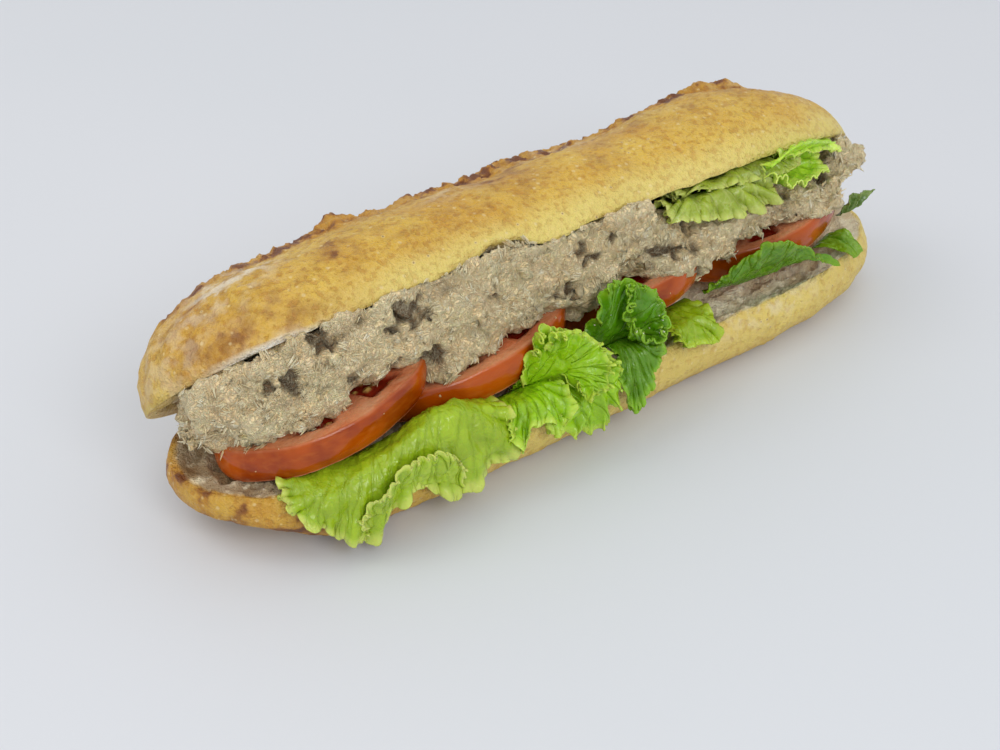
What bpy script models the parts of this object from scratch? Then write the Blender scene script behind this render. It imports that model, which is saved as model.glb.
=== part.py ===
"""A tuna salad baguette: one loaf slit along its front, opened like a mouth and filled.

Frame: +X runs along the loaf to its far end, -Y is the open front, +Z is up.
The origin is on the floor, under the middle of the loaf's flat underside.
All lengths are in metres, and slopes are rise over run.
"""

import math
import random

import bmesh
import bpy
from mathutils import Matrix, Vector, noise

MM = 0.001

# The base of the loaf: a flat underside, and a side that is one arc up to the cut rim
LOAF_LENGTH = 248 * MM
LOAF_MIDDLE_X = 1 * MM
LOAF_WIDTH = 62 * MM
BASE_HEIGHT = 19.5 * MM
SIDE_RADIUS = 12 * MM
SIDE_RISE = math.radians(38)
DISH_DEPTH = 3.5 * MM
RIM_STARTS, RIM_ENDS = 0.72, 0.97
PORE_DEPTH = 0.6 * MM
PORE_SIZE = 7 * MM
BASE_CELLS = (26, 8, 5)

# The loaf isn't quite even: its far part is slimmer, and its near end is lifted, tucked in and bent back
FAR_SLIMMING = 0.05
SLIM_FROM_X, SLIM_TO_X = -20 * MM, 50 * MM
NEAR_END_FROM_X, NEAR_END_TO_X = -85 * MM, -120 * MM
END_LIFT = 10 * MM
END_TUCK = 8 * MM
END_SWAY = 3 * MM

# The crown: it turns about the uncut back of the loaf
CROWN_LENGTH = 244 * MM
CROWN_MIDDLE_X = -0.5 * MM
CROWN_HEIGHT = 27 * MM
CROWN_SWELL = 6.5 * MM
SWELL_FROM_X, SWELL_TO_X = 25 * MM, 85 * MM
CROWN_INSET = 0.10
CRUST_UNEVENNESS = 1.0 * MM
HINGE_Y = 27 * MM
MOUTH_ANGLE = math.radians(45.8)
CROWN_CELLS = (36, 10, 4)

# The baked slash along the top of the crown: a raised torn lip and the hollow behind it
LIP_HEIGHT = 4.6 * MM
LIP_WIDTH = 3.4 * MM
SLASH_DEPTH = 1.6 * MM
SLASH_WIDTH = 17 * MM
CRAG_X, CRAG_WIDTH, CRAG_PEAK = -54 * MM, 4 * MM, 0.8
FAR_PEAK_X, FAR_PEAK_WIDTH, FAR_PEAK = 90 * MM, 14 * MM, 0.9

# The crown's front edge: a tear that rises into the crust, and a flap beside it that hangs down
TEAR_X, TEAR_WIDTH, TEAR_HEIGHT = -27 * MM, 9 * MM, 4.5 * MM
FLAP_X, FLAP_WIDTH, FLAP_DROP = -12 * MM, 6 * MM, 2.2 * MM

# Tomato slices: centre x and y, height of the underside, half length and half width, all in mm
SLICE_THICKNESS = 8 * MM
SLICE_RISE_X = 0.18
SLICE_RISE_Y = -0.16
SLICES = (
    ("tomato_slice_1", -79.5, -2.5, 25.0, 29.5, 21),
    ("tomato_slice_2", -33, -2.0, 24.0, 31, 21),
    ("tomato_slice_3", 27, -1.0, 25.5, 25, 18),
    ("tomato_slice_4", 80, 0.0, 23.6, 27, 19),
)

# The tuna: a wedge under the crown, with lobes at x, y, z of a size in mm, and flakes all over
TUNA_CELLS = (38, 4, 7)
TUNA_START_X = -117 * MM
TUNA_END_X = 112 * MM
TUNA_FOOT_Y = -20 * MM
TUNA_TOP_Y = -14.5 * MM
TUNA_BACK_Y = 14 * MM
TUNA_FOOT_Z = 28.5 * MM
TUNA_ROUGHNESS = 2.2 * MM
ROOF_CLEARANCE = 1.3 * MM
LEAF_ROOM = 5 * MM
LEAF_ROOM_FROM_X, LEAF_ROOM_TO_X = 20 * MM, 29 * MM
POCKET_X, POCKET_HALF_LENGTH, POCKET_DEPTH = 79.5 * MM, 19.5 * MM, 3.5 * MM
LOBES = (
    (-107, -8, 34, 8.5),
    (-93, -14, 39, 7.5),
    (-56, -13, 48, 8.5),
    (-45, -17, 38, 7.0),
    (-24, -15, 43, 8.0),
    (-5, -16, 40, 7.5),
    (16, -13, 46, 8.0),
    (38, -17, 37, 6.5),
    (54, -14, 35, 6.5),
    (84, -11, 39, 5.5),
    (109, -5, 40, 9.0),
)
FLAKE_COUNT = 46
FLAKE_LENGTH = 8 * MM
FLAKE_RADIUS = 2.0 * MM
SEED = 7

# Lettuce: a thin wavy sheet, its cells along and across chosen by its size
LEAF_THICKNESS = 0.8 * MM

GAP = 0.4 * MM


def cleared_collection(name):
    """An empty collection of that name, after everything else has left the scene."""
    for thing in list(bpy.data.objects):
        bpy.data.objects.remove(thing)
    collection = bpy.data.collections.new(name)
    bpy.context.scene.collection.children.link(collection)
    return collection


def material(name, colour, roughness):
    """A plain finish for one kind of food."""
    made = bpy.data.materials.new(name)
    made.use_nodes = True
    shader = made.node_tree.nodes["Principled BSDF"]
    shader.inputs["Base Color"].default_value = (*colour, 1.0)
    shader.inputs["Roughness"].default_value = roughness
    return made


def block(cells):
    """A cube from -1 to 1 cut into cells, to be bent into a solid by moving its vertices."""
    mesh = bmesh.new()
    bmesh.ops.create_cube(mesh, size=2)
    for axis, count in enumerate(cells):
        normal = Vector([float(i == axis) for i in range(3)])
        for step in range(1, count):
            place = normal * (-1 + 2 * step / count)
            everything = mesh.verts[:] + mesh.edges[:] + mesh.faces[:]
            bmesh.ops.bisect_plane(mesh, geom=everything, plane_co=place, plane_no=normal)
    return mesh


def finished(mesh, name, finish, collection):
    """The bmesh as a smooth-shaded object in the collection."""
    bmesh.ops.triangulate(mesh, faces=mesh.faces[:])
    bmesh.ops.recalc_face_normals(mesh, faces=mesh.faces[:])
    data = bpy.data.meshes.new(name)
    mesh.to_mesh(data)
    mesh.free()
    data.shade_smooth()
    data.materials.append(finish)
    made = bpy.data.objects.new(name, data)
    collection.objects.link(made)
    return made


def joined(target, others, operation, solver="EXACT"):
    """The target's mesh after one Boolean with every object of a collection, which is then emptied."""
    modifier = target.modifiers.new("join", "BOOLEAN")
    modifier.operation = operation
    modifier.operand_type = "COLLECTION"
    modifier.collection = others
    modifier.solver = solver
    bpy.context.view_layer.update()
    graph = bpy.context.evaluated_depsgraph_get()
    result = bpy.data.meshes.new_from_object(target.evaluated_get(graph))
    target.modifiers.clear()
    target.data = result
    for other in list(others.objects):
        bpy.data.objects.remove(other)
    return target


def keep_largest(target):
    """Drops the loose scraps that a cut leaves, so that one body stays."""
    mesh = bmesh.new()
    mesh.from_mesh(target.data)
    waiting, islands = set(mesh.verts), []
    while waiting:
        edge_of_island = [waiting.pop()]
        island = set(edge_of_island)
        while edge_of_island:
            here = edge_of_island.pop()
            found = {edge.other_vert(here) for edge in here.link_edges} - island
            island |= found
            edge_of_island.extend(found)
        waiting -= island
        islands.append(island)
    islands.sort(key=len)
    bmesh.ops.delete(mesh, geom=[vertex for island in islands[:-1] for vertex in island], context="VERTS")
    mesh.to_mesh(target.data)
    mesh.free()


def on_disc(s, t):
    """A point of the square from -1 to 1, moved so that the square fills the unit disc."""
    return s * math.sqrt(1 - t * t / 2), t * math.sqrt(1 - s * s / 2)


def arc(share, fullness):
    """1 in the middle falling to 0 at share 1; a larger fullness gives a boxier arc."""
    return math.sqrt(max(0.0, 1 - abs(share) ** fullness))


def smooth(low, high, value):
    """0 below low, 1 above high, and an even S between them."""
    share = min(1.0, max(0.0, (value - low) / (high - low)))
    return share * share * (3 - 2 * share)


def bump(value, centre, width):
    """1 at the centre, fading to nothing about two widths away."""
    return math.exp(-(((value - centre) / width) ** 2))


def mix(a, b, share):
    return a + (b - a) * share


def lumps(point, size, seed=0.0):
    """Smooth unevenness between about -1 and 1, with lumps of that size."""
    return noise.noise(point / size + Vector((seed, seed * 1.7, seed * 0.6)))


def half_width(x, length, middle=0.0):
    """Half the loaf's width at x: a blunt oval, a little slimmer in its far half."""
    slimmer = 1 - FAR_SLIMMING * smooth(SLIM_FROM_X, SLIM_TO_X, x)
    return LOAF_WIDTH / 2 * slimmer * arc(2 * (x - middle) / length, 6.0 if x < middle else 5.0)


def sway(x):
    """How far the loaf's middle line stands back at x: its near end bends backwards a little."""
    return END_SWAY * smooth(NEAR_END_FROM_X, NEAR_END_TO_X, x)


def rim_inset():
    """How far the cut rim of the base stands in from the widest part of its side."""
    return SIDE_RADIUS * (1 - math.cos(SIDE_RISE))


def plan(s, t, length, middle=0.0):
    """The plan position on the loaf of a point of the block's top or bottom face."""
    u, v = on_disc(s, t)
    across = v / math.sqrt(1 - u * u) if abs(u) < 0.9999 else 0.0
    x = middle + length / 2 * u
    return x, half_width(x, length, middle) * math.copysign(abs(across) ** 1.2, across)


def crumb_height(x, y, rim_share):
    """The cut face below its rim: pressed in a little by the filling, with open pores."""
    inside = 1 - smooth(RIM_STARTS, RIM_ENDS, rim_share)
    pores = lumps(Vector((x, y, 0)), PORE_SIZE, 2) * (1 - smooth(0.9, 1.0, rim_share))
    return DISH_DEPTH * inside + PORE_DEPTH * pores


def base_point(s, t, r):
    """The base: r runs from the cut face at 1 down to the flat underside at -1."""
    x, y = plan(s, t, LOAF_LENGTH, LOAF_MIDDLE_X)
    turn = mix(-math.pi / 2, SIDE_RISE, (r + 1) / 2)
    inset = SIDE_RADIUS * (1 - math.cos(turn))
    x = LOAF_MIDDLE_X + (x - LOAF_MIDDLE_X) * (1 - 2 * inset / LOAF_LENGTH)
    x += END_TUCK * smooth(NEAR_END_FROM_X, NEAR_END_TO_X, x) * (1 - r) / 2
    y = y * (1 - 2 * inset / LOAF_WIDTH) + sway(x)
    middle_height = BASE_HEIGHT - SIDE_RADIUS * math.sin(SIDE_RISE)
    lifted = END_LIFT * smooth(NEAR_END_FROM_X, NEAR_END_TO_X, x)
    drop = SIDE_RADIUS if turn > 0 else middle_height - lifted
    z = middle_height + drop * math.sin(turn)
    side = max(abs(s), abs(t)) if abs(r) < 1 else 0.0
    z += 0.5 * CRUST_UNEVENNESS * side * lumps(Vector((x, y, 0)), 20 * MM, 9) * (1 - abs(r))
    if r == 1:
        z -= crumb_height(x, y, max(abs(s), abs(t)))
    return Vector((x, y, max(0.0, z)))


def slash_relief(x, y):
    """The torn lip and the rough hollow behind it, along the top of the crown."""
    fade = arc(2 * (x - CROWN_MIDDLE_X) / (CROWN_LENGTH * 0.96), 6)
    away = y - 0.8 * MM * (1 + math.sin(x / (31 * MM)))
    torn = max(0.0, noise.noise(Vector((x / (6 * MM), 3.1, 0))))
    ragged = 0.5 + 1.1 * torn + 0.3 * math.sin(x / (3 * MM))
    reach = LIP_WIDTH if away < 0 else LIP_WIDTH * 0.6
    peaks = CRAG_PEAK * bump(x, CRAG_X, CRAG_WIDTH) + FAR_PEAK * bump(x, FAR_PEAK_X, FAR_PEAK_WIDTH)
    lip = LIP_HEIGHT * (ragged + peaks) * bump(away, 0, reach)
    inside = smooth(1.5 * MM, 5 * MM, away) * (1 - smooth(SLASH_WIDTH * 0.7, SLASH_WIDTH, away))
    hollow = SLASH_DEPTH * inside * (1 + 0.5 * lumps(Vector((x * 0.5, y, 0)), 4 * MM, 5))
    return fade * (lip - hollow)


def dome(x, y):
    """Height of the crown's crust over its cut plane: it swells towards the far end."""
    width = half_width(x, CROWN_LENGTH, CROWN_MIDDLE_X)
    across = min(1.0, abs(y) / width) if width > 0 else 1.0
    along = 2 * (x - CROWN_MIDDLE_X) / CROWN_LENGTH
    height = CROWN_HEIGHT + CROWN_SWELL * smooth(SWELL_FROM_X, SWELL_TO_X, x)
    return height * arc(along, 6.5 if along < 0 else 3.6) * arc(across, 2.2)


def crown_edge(x):
    """How much the crown's front edge is nicked upwards at x: a tear, and a flap beside it."""
    tear = TEAR_HEIGHT * bump(x, TEAR_X, TEAR_WIDTH)
    flap = FLAP_DROP * bump(x, FLAP_X, FLAP_WIDTH)
    return tear - flap + 0.7 * CRUST_UNEVENNESS * lumps(Vector((x, 0, 0)), 9 * MM, 12)


def crown_point(s, t, r):
    """The crown: r runs from the cut face at -1 up to the crust at 1. It is turned about the back."""
    x, y = plan(s, t, CROWN_LENGTH, CROWN_MIDDLE_X)
    if r == -1:
        height = crumb_height(x, y, max(abs(s), abs(t)))
    else:
        narrower = math.cos(math.acos(1 - CROWN_INSET) * (r + 1) / 2)
        x = CROWN_MIDDLE_X + (x - CROWN_MIDDLE_X) * narrower
        y *= narrower
        relief = slash_relief(x, y) + CRUST_UNEVENNESS * lumps(Vector((x, y, 0)), 22 * MM, 4)
        height = dome(x, y) + relief * (r + 1) / 2
    front = smooth(-20 * MM, -34 * MM, y) * (1 - smooth(0, 7 * MM, height))
    return opened(Vector((x, y + sway(x), height + crown_edge(x) * front)))


def opened(point):
    """A point of the shut crown, turned about the uncut back of the loaf."""
    turned = Matrix.Rotation(-MOUTH_ANGLE, 3, "X") @ Vector((point.x, point.y - HINGE_Y, point.z))
    return turned + Vector((0, HINGE_Y, BASE_HEIGHT))


def roof(y):
    """Height of the crown's cut plane over the filling at y."""
    return BASE_HEIGHT + (HINGE_Y - y) * math.tan(MOUTH_ANGLE)


def bent(cells, bend):
    """A block of cells with every vertex moved to bend(s, t, r)."""
    mesh = block(cells)
    for vertex in mesh.verts:
        vertex.co = bend(*[round(value, 5) for value in vertex.co])
    return mesh


def make_loaf(collection, helpers, crust):
    """The whole loaf: base and crown, joined where the back was left uncut."""
    finished(bent(CROWN_CELLS, crown_point), "crown", crust, helpers)
    loaf = finished(bent(BASE_CELLS, base_point), "loaf", crust, collection)
    joined(loaf, helpers, "UNION")
    keep_largest(loaf)


def slice_height(x, y, slice_x, slice_y, under):
    """Height of a tilted slice's underside at a plan position."""
    return under + SLICE_RISE_X * (x - slice_x) + SLICE_RISE_Y * (y - slice_y)


def tomato_slice(name, place, finish, collection, grow=0.0):
    """One slice: a slightly lobed round with a bulging skin, tilted to its neighbours. grow swells it."""
    slice_x, slice_y, under, half_x, half_y = (value * MM for value in place)
    mesh = bmesh.new()
    bmesh.ops.create_cone(mesh, cap_ends=True, segments=32, radius1=1, radius2=1, depth=2)
    sides = [edge for edge in mesh.edges if abs(edge.verts[0].co.z - edge.verts[1].co.z) > 1]
    bmesh.ops.subdivide_edges(mesh, edges=sides, cuts=3, use_grid_fill=False)
    for vertex in mesh.verts:
        up = vertex.co.z
        turn = math.atan2(vertex.co.y, vertex.co.x)
        skin = 1 - 0.045 * up * up * abs(up) + 0.012 * math.cos(5 * turn + slice_x * 40)
        x = slice_x + (half_x + grow) * math.cos(turn) * skin
        y = slice_y + (half_y + grow) * math.sin(turn) * skin
        rise = (up + 1) / 2 * SLICE_THICKNESS + up * grow
        vertex.co = (x, y, slice_height(x, y, slice_x, slice_y, under) + rise)
    return finished(mesh, name, finish, collection)


def tuna_front(x, up):
    """The y of the tuna's front face at x, with up running 0 to 1 from its foot to the crown."""
    hollows = 2.4 * MM * lumps(Vector((x, 0, up * 30 * MM)), 13 * MM, 21)
    pocket = 1 - smooth(POCKET_HALF_LENGTH - 4 * MM, POCKET_HALF_LENGTH + 4 * MM, abs(x - POCKET_X))
    under_leaf = POCKET_DEPTH * (smooth(LEAF_ROOM_FROM_X, LEAF_ROOM_TO_X, x) + pocket)
    return mix(TUNA_FOOT_Y, TUNA_TOP_Y, up) + hollows + under_leaf * smooth(0.3, 0.7, up)


def tuna_point(s, t, r):
    """The tuna's surface: s runs along the loaf, t from front to back, r from bottom to top."""
    ends = arc(s, 7)
    x = mix(TUNA_START_X, TUNA_END_X, (s + 1) / 2)
    up = (r + 1) / 2
    front = mix(-3 * MM, tuna_front(x, up), 0.35 + 0.65 * ends)
    y = mix(front, mix(4 * MM, TUNA_BACK_Y, ends), (t + 1) / 2)
    foot = TUNA_FOOT_Z + SLICE_RISE_Y * y + 4.5 * MM * smooth(2 * MM, 10 * MM, x)
    leaf_room = LEAF_ROOM * smooth(LEAF_ROOM_FROM_X, LEAF_ROOM_TO_X, x) * smooth(10 * MM, 0, y)
    flap_room = FLAP_DROP * bump(x, FLAP_X, 1.3 * FLAP_WIDTH)
    top = roof(y) - ROOF_CLEARANCE - flap_room - leaf_room
    top = mix(min(top, 48 * MM), top, arc(s, 5))
    z = mix(foot, max(foot + 2 * MM, top), up)
    rough = TUNA_ROUGHNESS * lumps(Vector((x, y, z)), 7 * MM, 8) * smooth(0.3, -0.8, t)
    return Vector((x, y - rough, z - abs(rough) * 0.4 * up))


def make_lobes(finish, helpers):
    """The lumps of mashed tuna that stand out of the front and the far end."""
    for number, (x, y, z, size) in enumerate(LOBES):
        mesh = bmesh.new()
        bmesh.ops.create_icosphere(mesh, subdivisions=2, radius=size * MM)
        for vertex in mesh.verts:
            rough = 1 + 0.35 * lumps(vertex.co, 6 * MM, number)
            vertex.co = Vector((vertex.co.x * 1.25, vertex.co.y * 0.8, vertex.co.z)) * rough
        mesh.transform(Matrix.Translation(Vector((x, y, z)) * MM))
        finished(mesh, f"lobe_{number}", finish, helpers)


def make_flakes(finish, helpers):
    """Flat tapered flakes rooted in the tuna's front face and ends, lying mostly along it."""
    draw = random.Random(SEED)
    for number in range(FLAKE_COUNT):
        s = -0.98 + 1.96 * ((number * 0.7549) % 1)
        r = -0.95 + 1.5 * ((number * 0.5698) % 1)
        root = tuna_point(s, -1, r)
        heading = Vector((draw.uniform(-1, 1), -draw.uniform(0.15, 0.5), draw.uniform(-0.8, 0.5)))
        length = FLAKE_LENGTH * draw.uniform(0.7, 1.2)
        mesh = bmesh.new()
        bmesh.ops.create_cone(
            mesh, cap_ends=True, segments=4, radius1=FLAKE_RADIUS, radius2=FLAKE_RADIUS * 0.35, depth=length
        )
        flat = Matrix.Diagonal((1.35, 0.65, 1.0, 1.0))
        stand = heading.normalized().to_track_quat("Z", "Y").to_matrix().to_4x4()
        place = root + heading.normalized() * (length * 0.3)
        mesh.transform(Matrix.Translation(place) @ stand @ flat)
        finished(mesh, f"flake_{number}", finish, helpers)


def make_tuna(collection, helpers, finish):
    """The tuna in one piece, nestled over the tomato slices."""
    tuna = finished(bent(TUNA_CELLS, tuna_point), "tuna", finish, collection)
    make_lobes(finish, helpers)
    make_flakes(finish, helpers)
    joined(tuna, helpers, "UNION", "MANIFOLD")
    for name, *place in SLICES:
        tomato_slice("room_for_" + name, place, finish, helpers, GAP)
    joined(tuna, helpers, "DIFFERENCE", "MANIFOLD")
    keep_largest(tuna)


# Each leaf hangs on curved paths from its root to its margin, spread evenly from its left to its
# right. A path has four control points: x, how far outside the rim of the base or crown, and the
# height over it. waves counts the ruffles along the leaf, ruffle is their height, and start shifts
# the first one.
LEAVES = {
    "lettuce_near": dict(
        rim="base", cells=(24, 6), waves=4.6, ruffle=1.7, start=0.15,
        paths=(
            ((-97, -10, 1.6), (-101, -6, 2.5), (-103.5, 2, 4.5), (-103.6, 4, -1.7)),
            ((-84, -10, 1.6), (-87, -4, 4), (-91, 7, 6), (-92.7, 6, -11.4)),
            ((-74, -10, 1.6), (-76, -3, 8), (-81, 8, 11), (-83.8, 6, -14.3)),
            ((-62, -10, 1.6), (-64, -3.5, 15), (-69, 6, 15), (-71.7, 6, -3.9)),
            ((-52, -10, 1.6), (-54, -3, 18), (-57, 6, 18), (-58.7, 6, -12.3)),
            ((-38, -10, 1.6), (-37, -4, 5), (-37, 6, 8), (-38.6, 5, -7.8)),
        ),
    ),
    "lettuce_frill": dict(
        rim="base", cells=(24, 5), waves=5.0, ruffle=1.5, start=0.5,
        paths=(
            ((-30, -9, 2), (-29.5, -3, 6), (-28.5, -1, 15), (-27, -1, 23)),
            ((-27, -9, 2), (-25, -2, 6), (-21, -0.5, 15), (-19, -0.5, 23)),
            ((-24, -9, 2), (-20, -1, 5), (-13, 3, 12), (-7.9, 3, 14.5)),
            ((-22, -9, 2), (-17, 1, 4), (-8, 6, 8), (-2, 6.5, 4.6)),
            ((-20, -9, 2), (-16, 2, 3.5), (-9, 8, 3), (-8.1, 6, -11.8)),
            ((-21, -8.5, 2), (-20, 2, 3), (-22, 8, 2), (-24.3, 5, -6.8)),
        ),
    ),
    "lettuce_dark": dict(
        rim="base", cells=(24, 5), waves=4.6, ruffle=1.6, start=0.2,
        paths=(
            ((-11, -9.5, 2), (-9, -4.5, 7), (-5, -2.5, 17), (-2, -2.5, 30)),
            ((-5, -9.5, 2), (-3, -3.5, 8), (3, -1.5, 18), (7, -1.5, 27)),
            ((2, -10, 2), (4, -4, 6), (11, 0, 13), (16.5, 0.5, 19.5)),
            ((8, -11, 2), (9, -2, 4), (12, 3, 10), (13.1, 4, 8)),
            ((9, -10, 2), (9, 0, 3.5), (9, 7, 3), (8, 5.5, -3)),
            ((6, -10, 2), (5, 1, 3.5), (3, 8, 1), (1.2, 6.5, -10.8)),
        ),
    ),
    "lettuce_light": dict(
        rim="base", cells=(12, 4), waves=2.0, ruffle=0.9, start=0.3,
        paths=(
            ((19, -12, 2), (19, -5, 5), (19, 2, 8), (19, 4, 6)),
            ((28, -13, 2), (28, -6.5, 4.5), (27, 1, 7), (25, 5, 1.2)),
            ((40, -14, 2), (41, -7, 4.5), (41, 1, 5), (38.5, 5, -2.9)),
        ),
    ),
    "lettuce_folded": dict(
        rim="base", cells=(16, 5), waves=2.0, ruffle=1.2, start=0.0,
        paths=(
            ((47, -14, 2), (46, -11, 3), (45, -10, 4.5), (47, -9, 7)),
            ((62, -10, 2), (63, -5, 5), (65, -2, 13), (65, -1.5, 19)),
            ((80, -9, 2), (83, -4, 5), (87, 1, 8), (89, 4, 3)),
        ),
    ),
    "lettuce_end_low": dict(
        rim="base", cells=(8, 4), waves=1.2, ruffle=0.7, start=0.4,
        paths=(
            ((92, -9, 2), (94, -5, 4), (96, -1, 5), (97, 4, 1.5)),
            ((100, -9, 3), (103, -5, 7), (104, -1, 7), (103, 5, 2)),
        ),
    ),
    "lettuce_end_high": dict(
        rim="base", cells=(10, 4), waves=1.3, ruffle=0.9, start=0.1,
        paths=(
            ((107, -8, 7), (107, -6, 11), (107, -5, 14), (108, -4, 16)),
            ((110, -11, 4), (113, -6, 6), (117, -1, 9), (120, 3, 13)),
        ),
    ),
    "lettuce_tucked": dict(
        rim="crown", cells=(14, 4), waves=2.2, ruffle=1.0, start=0.2,
        paths=(
            ((29, -14, -16.5), (29, -6, -7.8), (29, 1.5, 1.2), (28, 3, -7)),
            ((47, -14, -16.5), (47, -6, -7.8), (48, 3, 1.2), (48, 6.5, -11.5)),
            ((62, -14, -17), (65, -6, -8.6), (67, 3, 0.5), (71, 6.5, -12.5)),
        ),
    ),
    "lettuce_bright": dict(
        rim="crown", cells=(16, 5), waves=2.4, ruffle=1.4, start=0.6,
        paths=(
            ((65, 7, 1), (67, -2, -2), (67, 0, -6), (66, 7.5, -3)),
            ((76, 8, 6), (78, -4, -7), (79, -9, -12.5), (78, 8, -8)),
            ((96, 6, 1), (96, -3, -3), (96, -3, -7), (94, 6.5, -8)),
        ),
    ),
}


def rim_place(rim, x):
    """The y and the height of the front rim of the base or crown at x."""
    if rim == "base":
        return rim_inset() - half_width(x, LOAF_LENGTH, LOAF_MIDDLE_X) + sway(x), BASE_HEIGHT
    edge = opened(Vector((x, -half_width(x, CROWN_LENGTH, CROWN_MIDDLE_X), 0)))
    return edge.y, edge.z


def path_point(rim, path, share):
    """The point of one of a leaf's paths at a share of the way from root to margin."""
    rest = 1 - share
    weights = (rest**3, 3 * rest**2 * share, 3 * rest * share**2, share**3)
    x, out, height = (sum(w * point[i] for w, point in zip(weights, path)) * MM for i in range(3))
    y, z = rim_place(rim, x)
    return Vector((x, y - out, z + height))


def on_line(points, share):
    """The point at a share of the way along a smooth line through evenly spaced points."""
    place = share * (len(points) - 1)
    number = min(len(points) - 2, int(place))
    rest = place - number
    here, ahead = points[number], points[number + 1]
    behind = points[number - 1] if number > 0 else here * 2 - ahead
    beyond = points[number + 2] if number + 2 < len(points) else ahead * 2 - here
    turning = behind * 2 - here * 5 + ahead * 4 - beyond
    swing = here * 3 - behind - ahead * 3 + beyond
    return (here * 2 + (ahead - behind) * rest + turning * rest**2 + swing * rest**3) / 2


def sheet_point(leaf, u, v):
    """The leaf before it is ruffled: u runs from its left to its right, v from root to margin."""
    return on_line([path_point(leaf["rim"], path, v) for path in leaf["paths"]], u)


def leaf_point(leaf, u, v):
    """A point of the ruffled leaf."""
    step = 0.01
    here = sheet_point(leaf, u, v)
    along = sheet_point(leaf, u + step, v) - here
    outward = sheet_point(leaf, u, v + step) - here
    normal = along.cross(outward).normalized()
    turn = 2 * math.pi * (leaf["waves"] * u + leaf["start"])
    margin = smooth(0.3, 1, v) if leaf["rim"] == "base" else 0.4 + 0.6 * abs(2 * v - 1)
    height = margin * math.sin(turn) + 0.35 * smooth(0.7, 1, v) * math.sin(2.6 * turn + 1)
    sway = 0.5 * margin * math.cos(turn)
    return here + (normal * height + along.normalized() * sway) * leaf["ruffle"] * MM


def make_leaf(name, leaf, finish, collection):
    """One thin wavy leaf, given its thickness by Solidify so that both faces match."""
    mesh = bmesh.new()
    along, across = leaf["cells"]
    bmesh.ops.create_grid(mesh, x_segments=along, y_segments=across, size=0.5)
    for vertex in mesh.verts:
        vertex.co = leaf_point(leaf, vertex.co.x + 0.5, vertex.co.y + 0.5)
    made = finished(mesh, name, finish, collection)
    thick = made.modifiers.new("thickness", "SOLIDIFY")
    thick.thickness = LEAF_THICKNESS
    thick.offset = 0
    return made


def main():
    sandwich = cleared_collection("sandwich")
    helpers = bpy.data.collections.new("helpers")
    bpy.context.scene.collection.children.link(helpers)
    crust = material("crust", (0.62, 0.36, 0.12), 0.7)
    tomato = material("tomato", (0.55, 0.07, 0.02), 0.3)
    fish = material("tuna", (0.45, 0.32, 0.2), 0.6)
    lettuce = material("lettuce", (0.25, 0.5, 0.06), 0.45)
    make_loaf(sandwich, helpers, crust)
    for name, *place in SLICES:
        tomato_slice(name, place, tomato, sandwich)
    make_tuna(sandwich, helpers, fish)
    for name, leaf in LEAVES.items():
        make_leaf(name, leaf, lettuce, sandwich)


main()
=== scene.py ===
"""The looks of a tuna salad baguette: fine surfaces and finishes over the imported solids.

Frame, as in the solids: +X along the loaf to its far end, -Y the open front, +Z up.
Sizes are in mm, and placing a piece turns them into the metres of the scene.
"""

import math
from itertools import product

import bpy
import numpy as np
from mathutils import Euler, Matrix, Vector


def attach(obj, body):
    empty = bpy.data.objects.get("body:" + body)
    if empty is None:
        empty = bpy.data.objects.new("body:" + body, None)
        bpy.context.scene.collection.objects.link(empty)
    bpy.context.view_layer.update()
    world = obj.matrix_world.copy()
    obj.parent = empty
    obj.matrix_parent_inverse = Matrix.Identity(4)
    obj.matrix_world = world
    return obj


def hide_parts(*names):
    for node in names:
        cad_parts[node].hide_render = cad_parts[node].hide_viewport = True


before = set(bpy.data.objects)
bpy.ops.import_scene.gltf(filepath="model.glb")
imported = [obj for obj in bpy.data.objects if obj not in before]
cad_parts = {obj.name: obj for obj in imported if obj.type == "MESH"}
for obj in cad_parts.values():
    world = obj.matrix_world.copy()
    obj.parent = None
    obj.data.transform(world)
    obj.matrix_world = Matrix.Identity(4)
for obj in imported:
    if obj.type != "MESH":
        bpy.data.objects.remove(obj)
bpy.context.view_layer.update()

MM = 0.001

# The loaf, with the same sizes as its solid
LOAF_LENGTH, LOAF_MIDDLE_X, LOAF_WIDTH = 248, 1, 62
BASE_HEIGHT, SIDE_RADIUS, SIDE_RISE = 19.5, 12, math.radians(38)
DISH_DEPTH = 3.5
FAR_SLIMMING, SLIM_FROM_X, SLIM_TO_X = 0.05, -20, 50
NEAR_END_FROM_X, NEAR_END_TO_X = -85, -120
END_LIFT, END_TUCK, END_SWAY = 10, 8, 3
CROWN_LENGTH, CROWN_MIDDLE_X, CROWN_INSET = 244, -0.5, 0.10
CROWN_HEIGHT, CROWN_SWELL, SWELL_FROM_X, SWELL_TO_X = 27, 6.5, 25, 85
HINGE_Y, MOUTH_ANGLE = 27, math.radians(45.8)
# Cells along, across and up the crust
CROWN_CELLS, BASE_CELLS = (284, 76, 8), (284, 68, 14)
# The torn baked line on the crown: its raised lip and the hollow behind it
LIP_HEIGHT, LIP_WIDTH, SLASH_WIDTH, SLASH_DEPTH = 4.6, 3.4, 17, 1.6
# Peaks of the lip: x, half width, and height as a share of the lip's
LIP_PEAKS = ((-54, 4.5, 0.6), (90, 14, 0.9), (2, 24, 0.4))
# The crown's front edge is torn up at one place and hangs down at another
TEAR_X, TEAR_WIDTH, TEAR_HEIGHT = -27, 9, 4.5
FLAP_X, FLAP_WIDTH, FLAP_DROP = -12, 6, 2.2
# White crumb that shows along the near part of the crown's edge: x and half width
NEAR_CRUMB_X, NEAR_CRUMB_WIDTH = -97, 13
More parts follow.
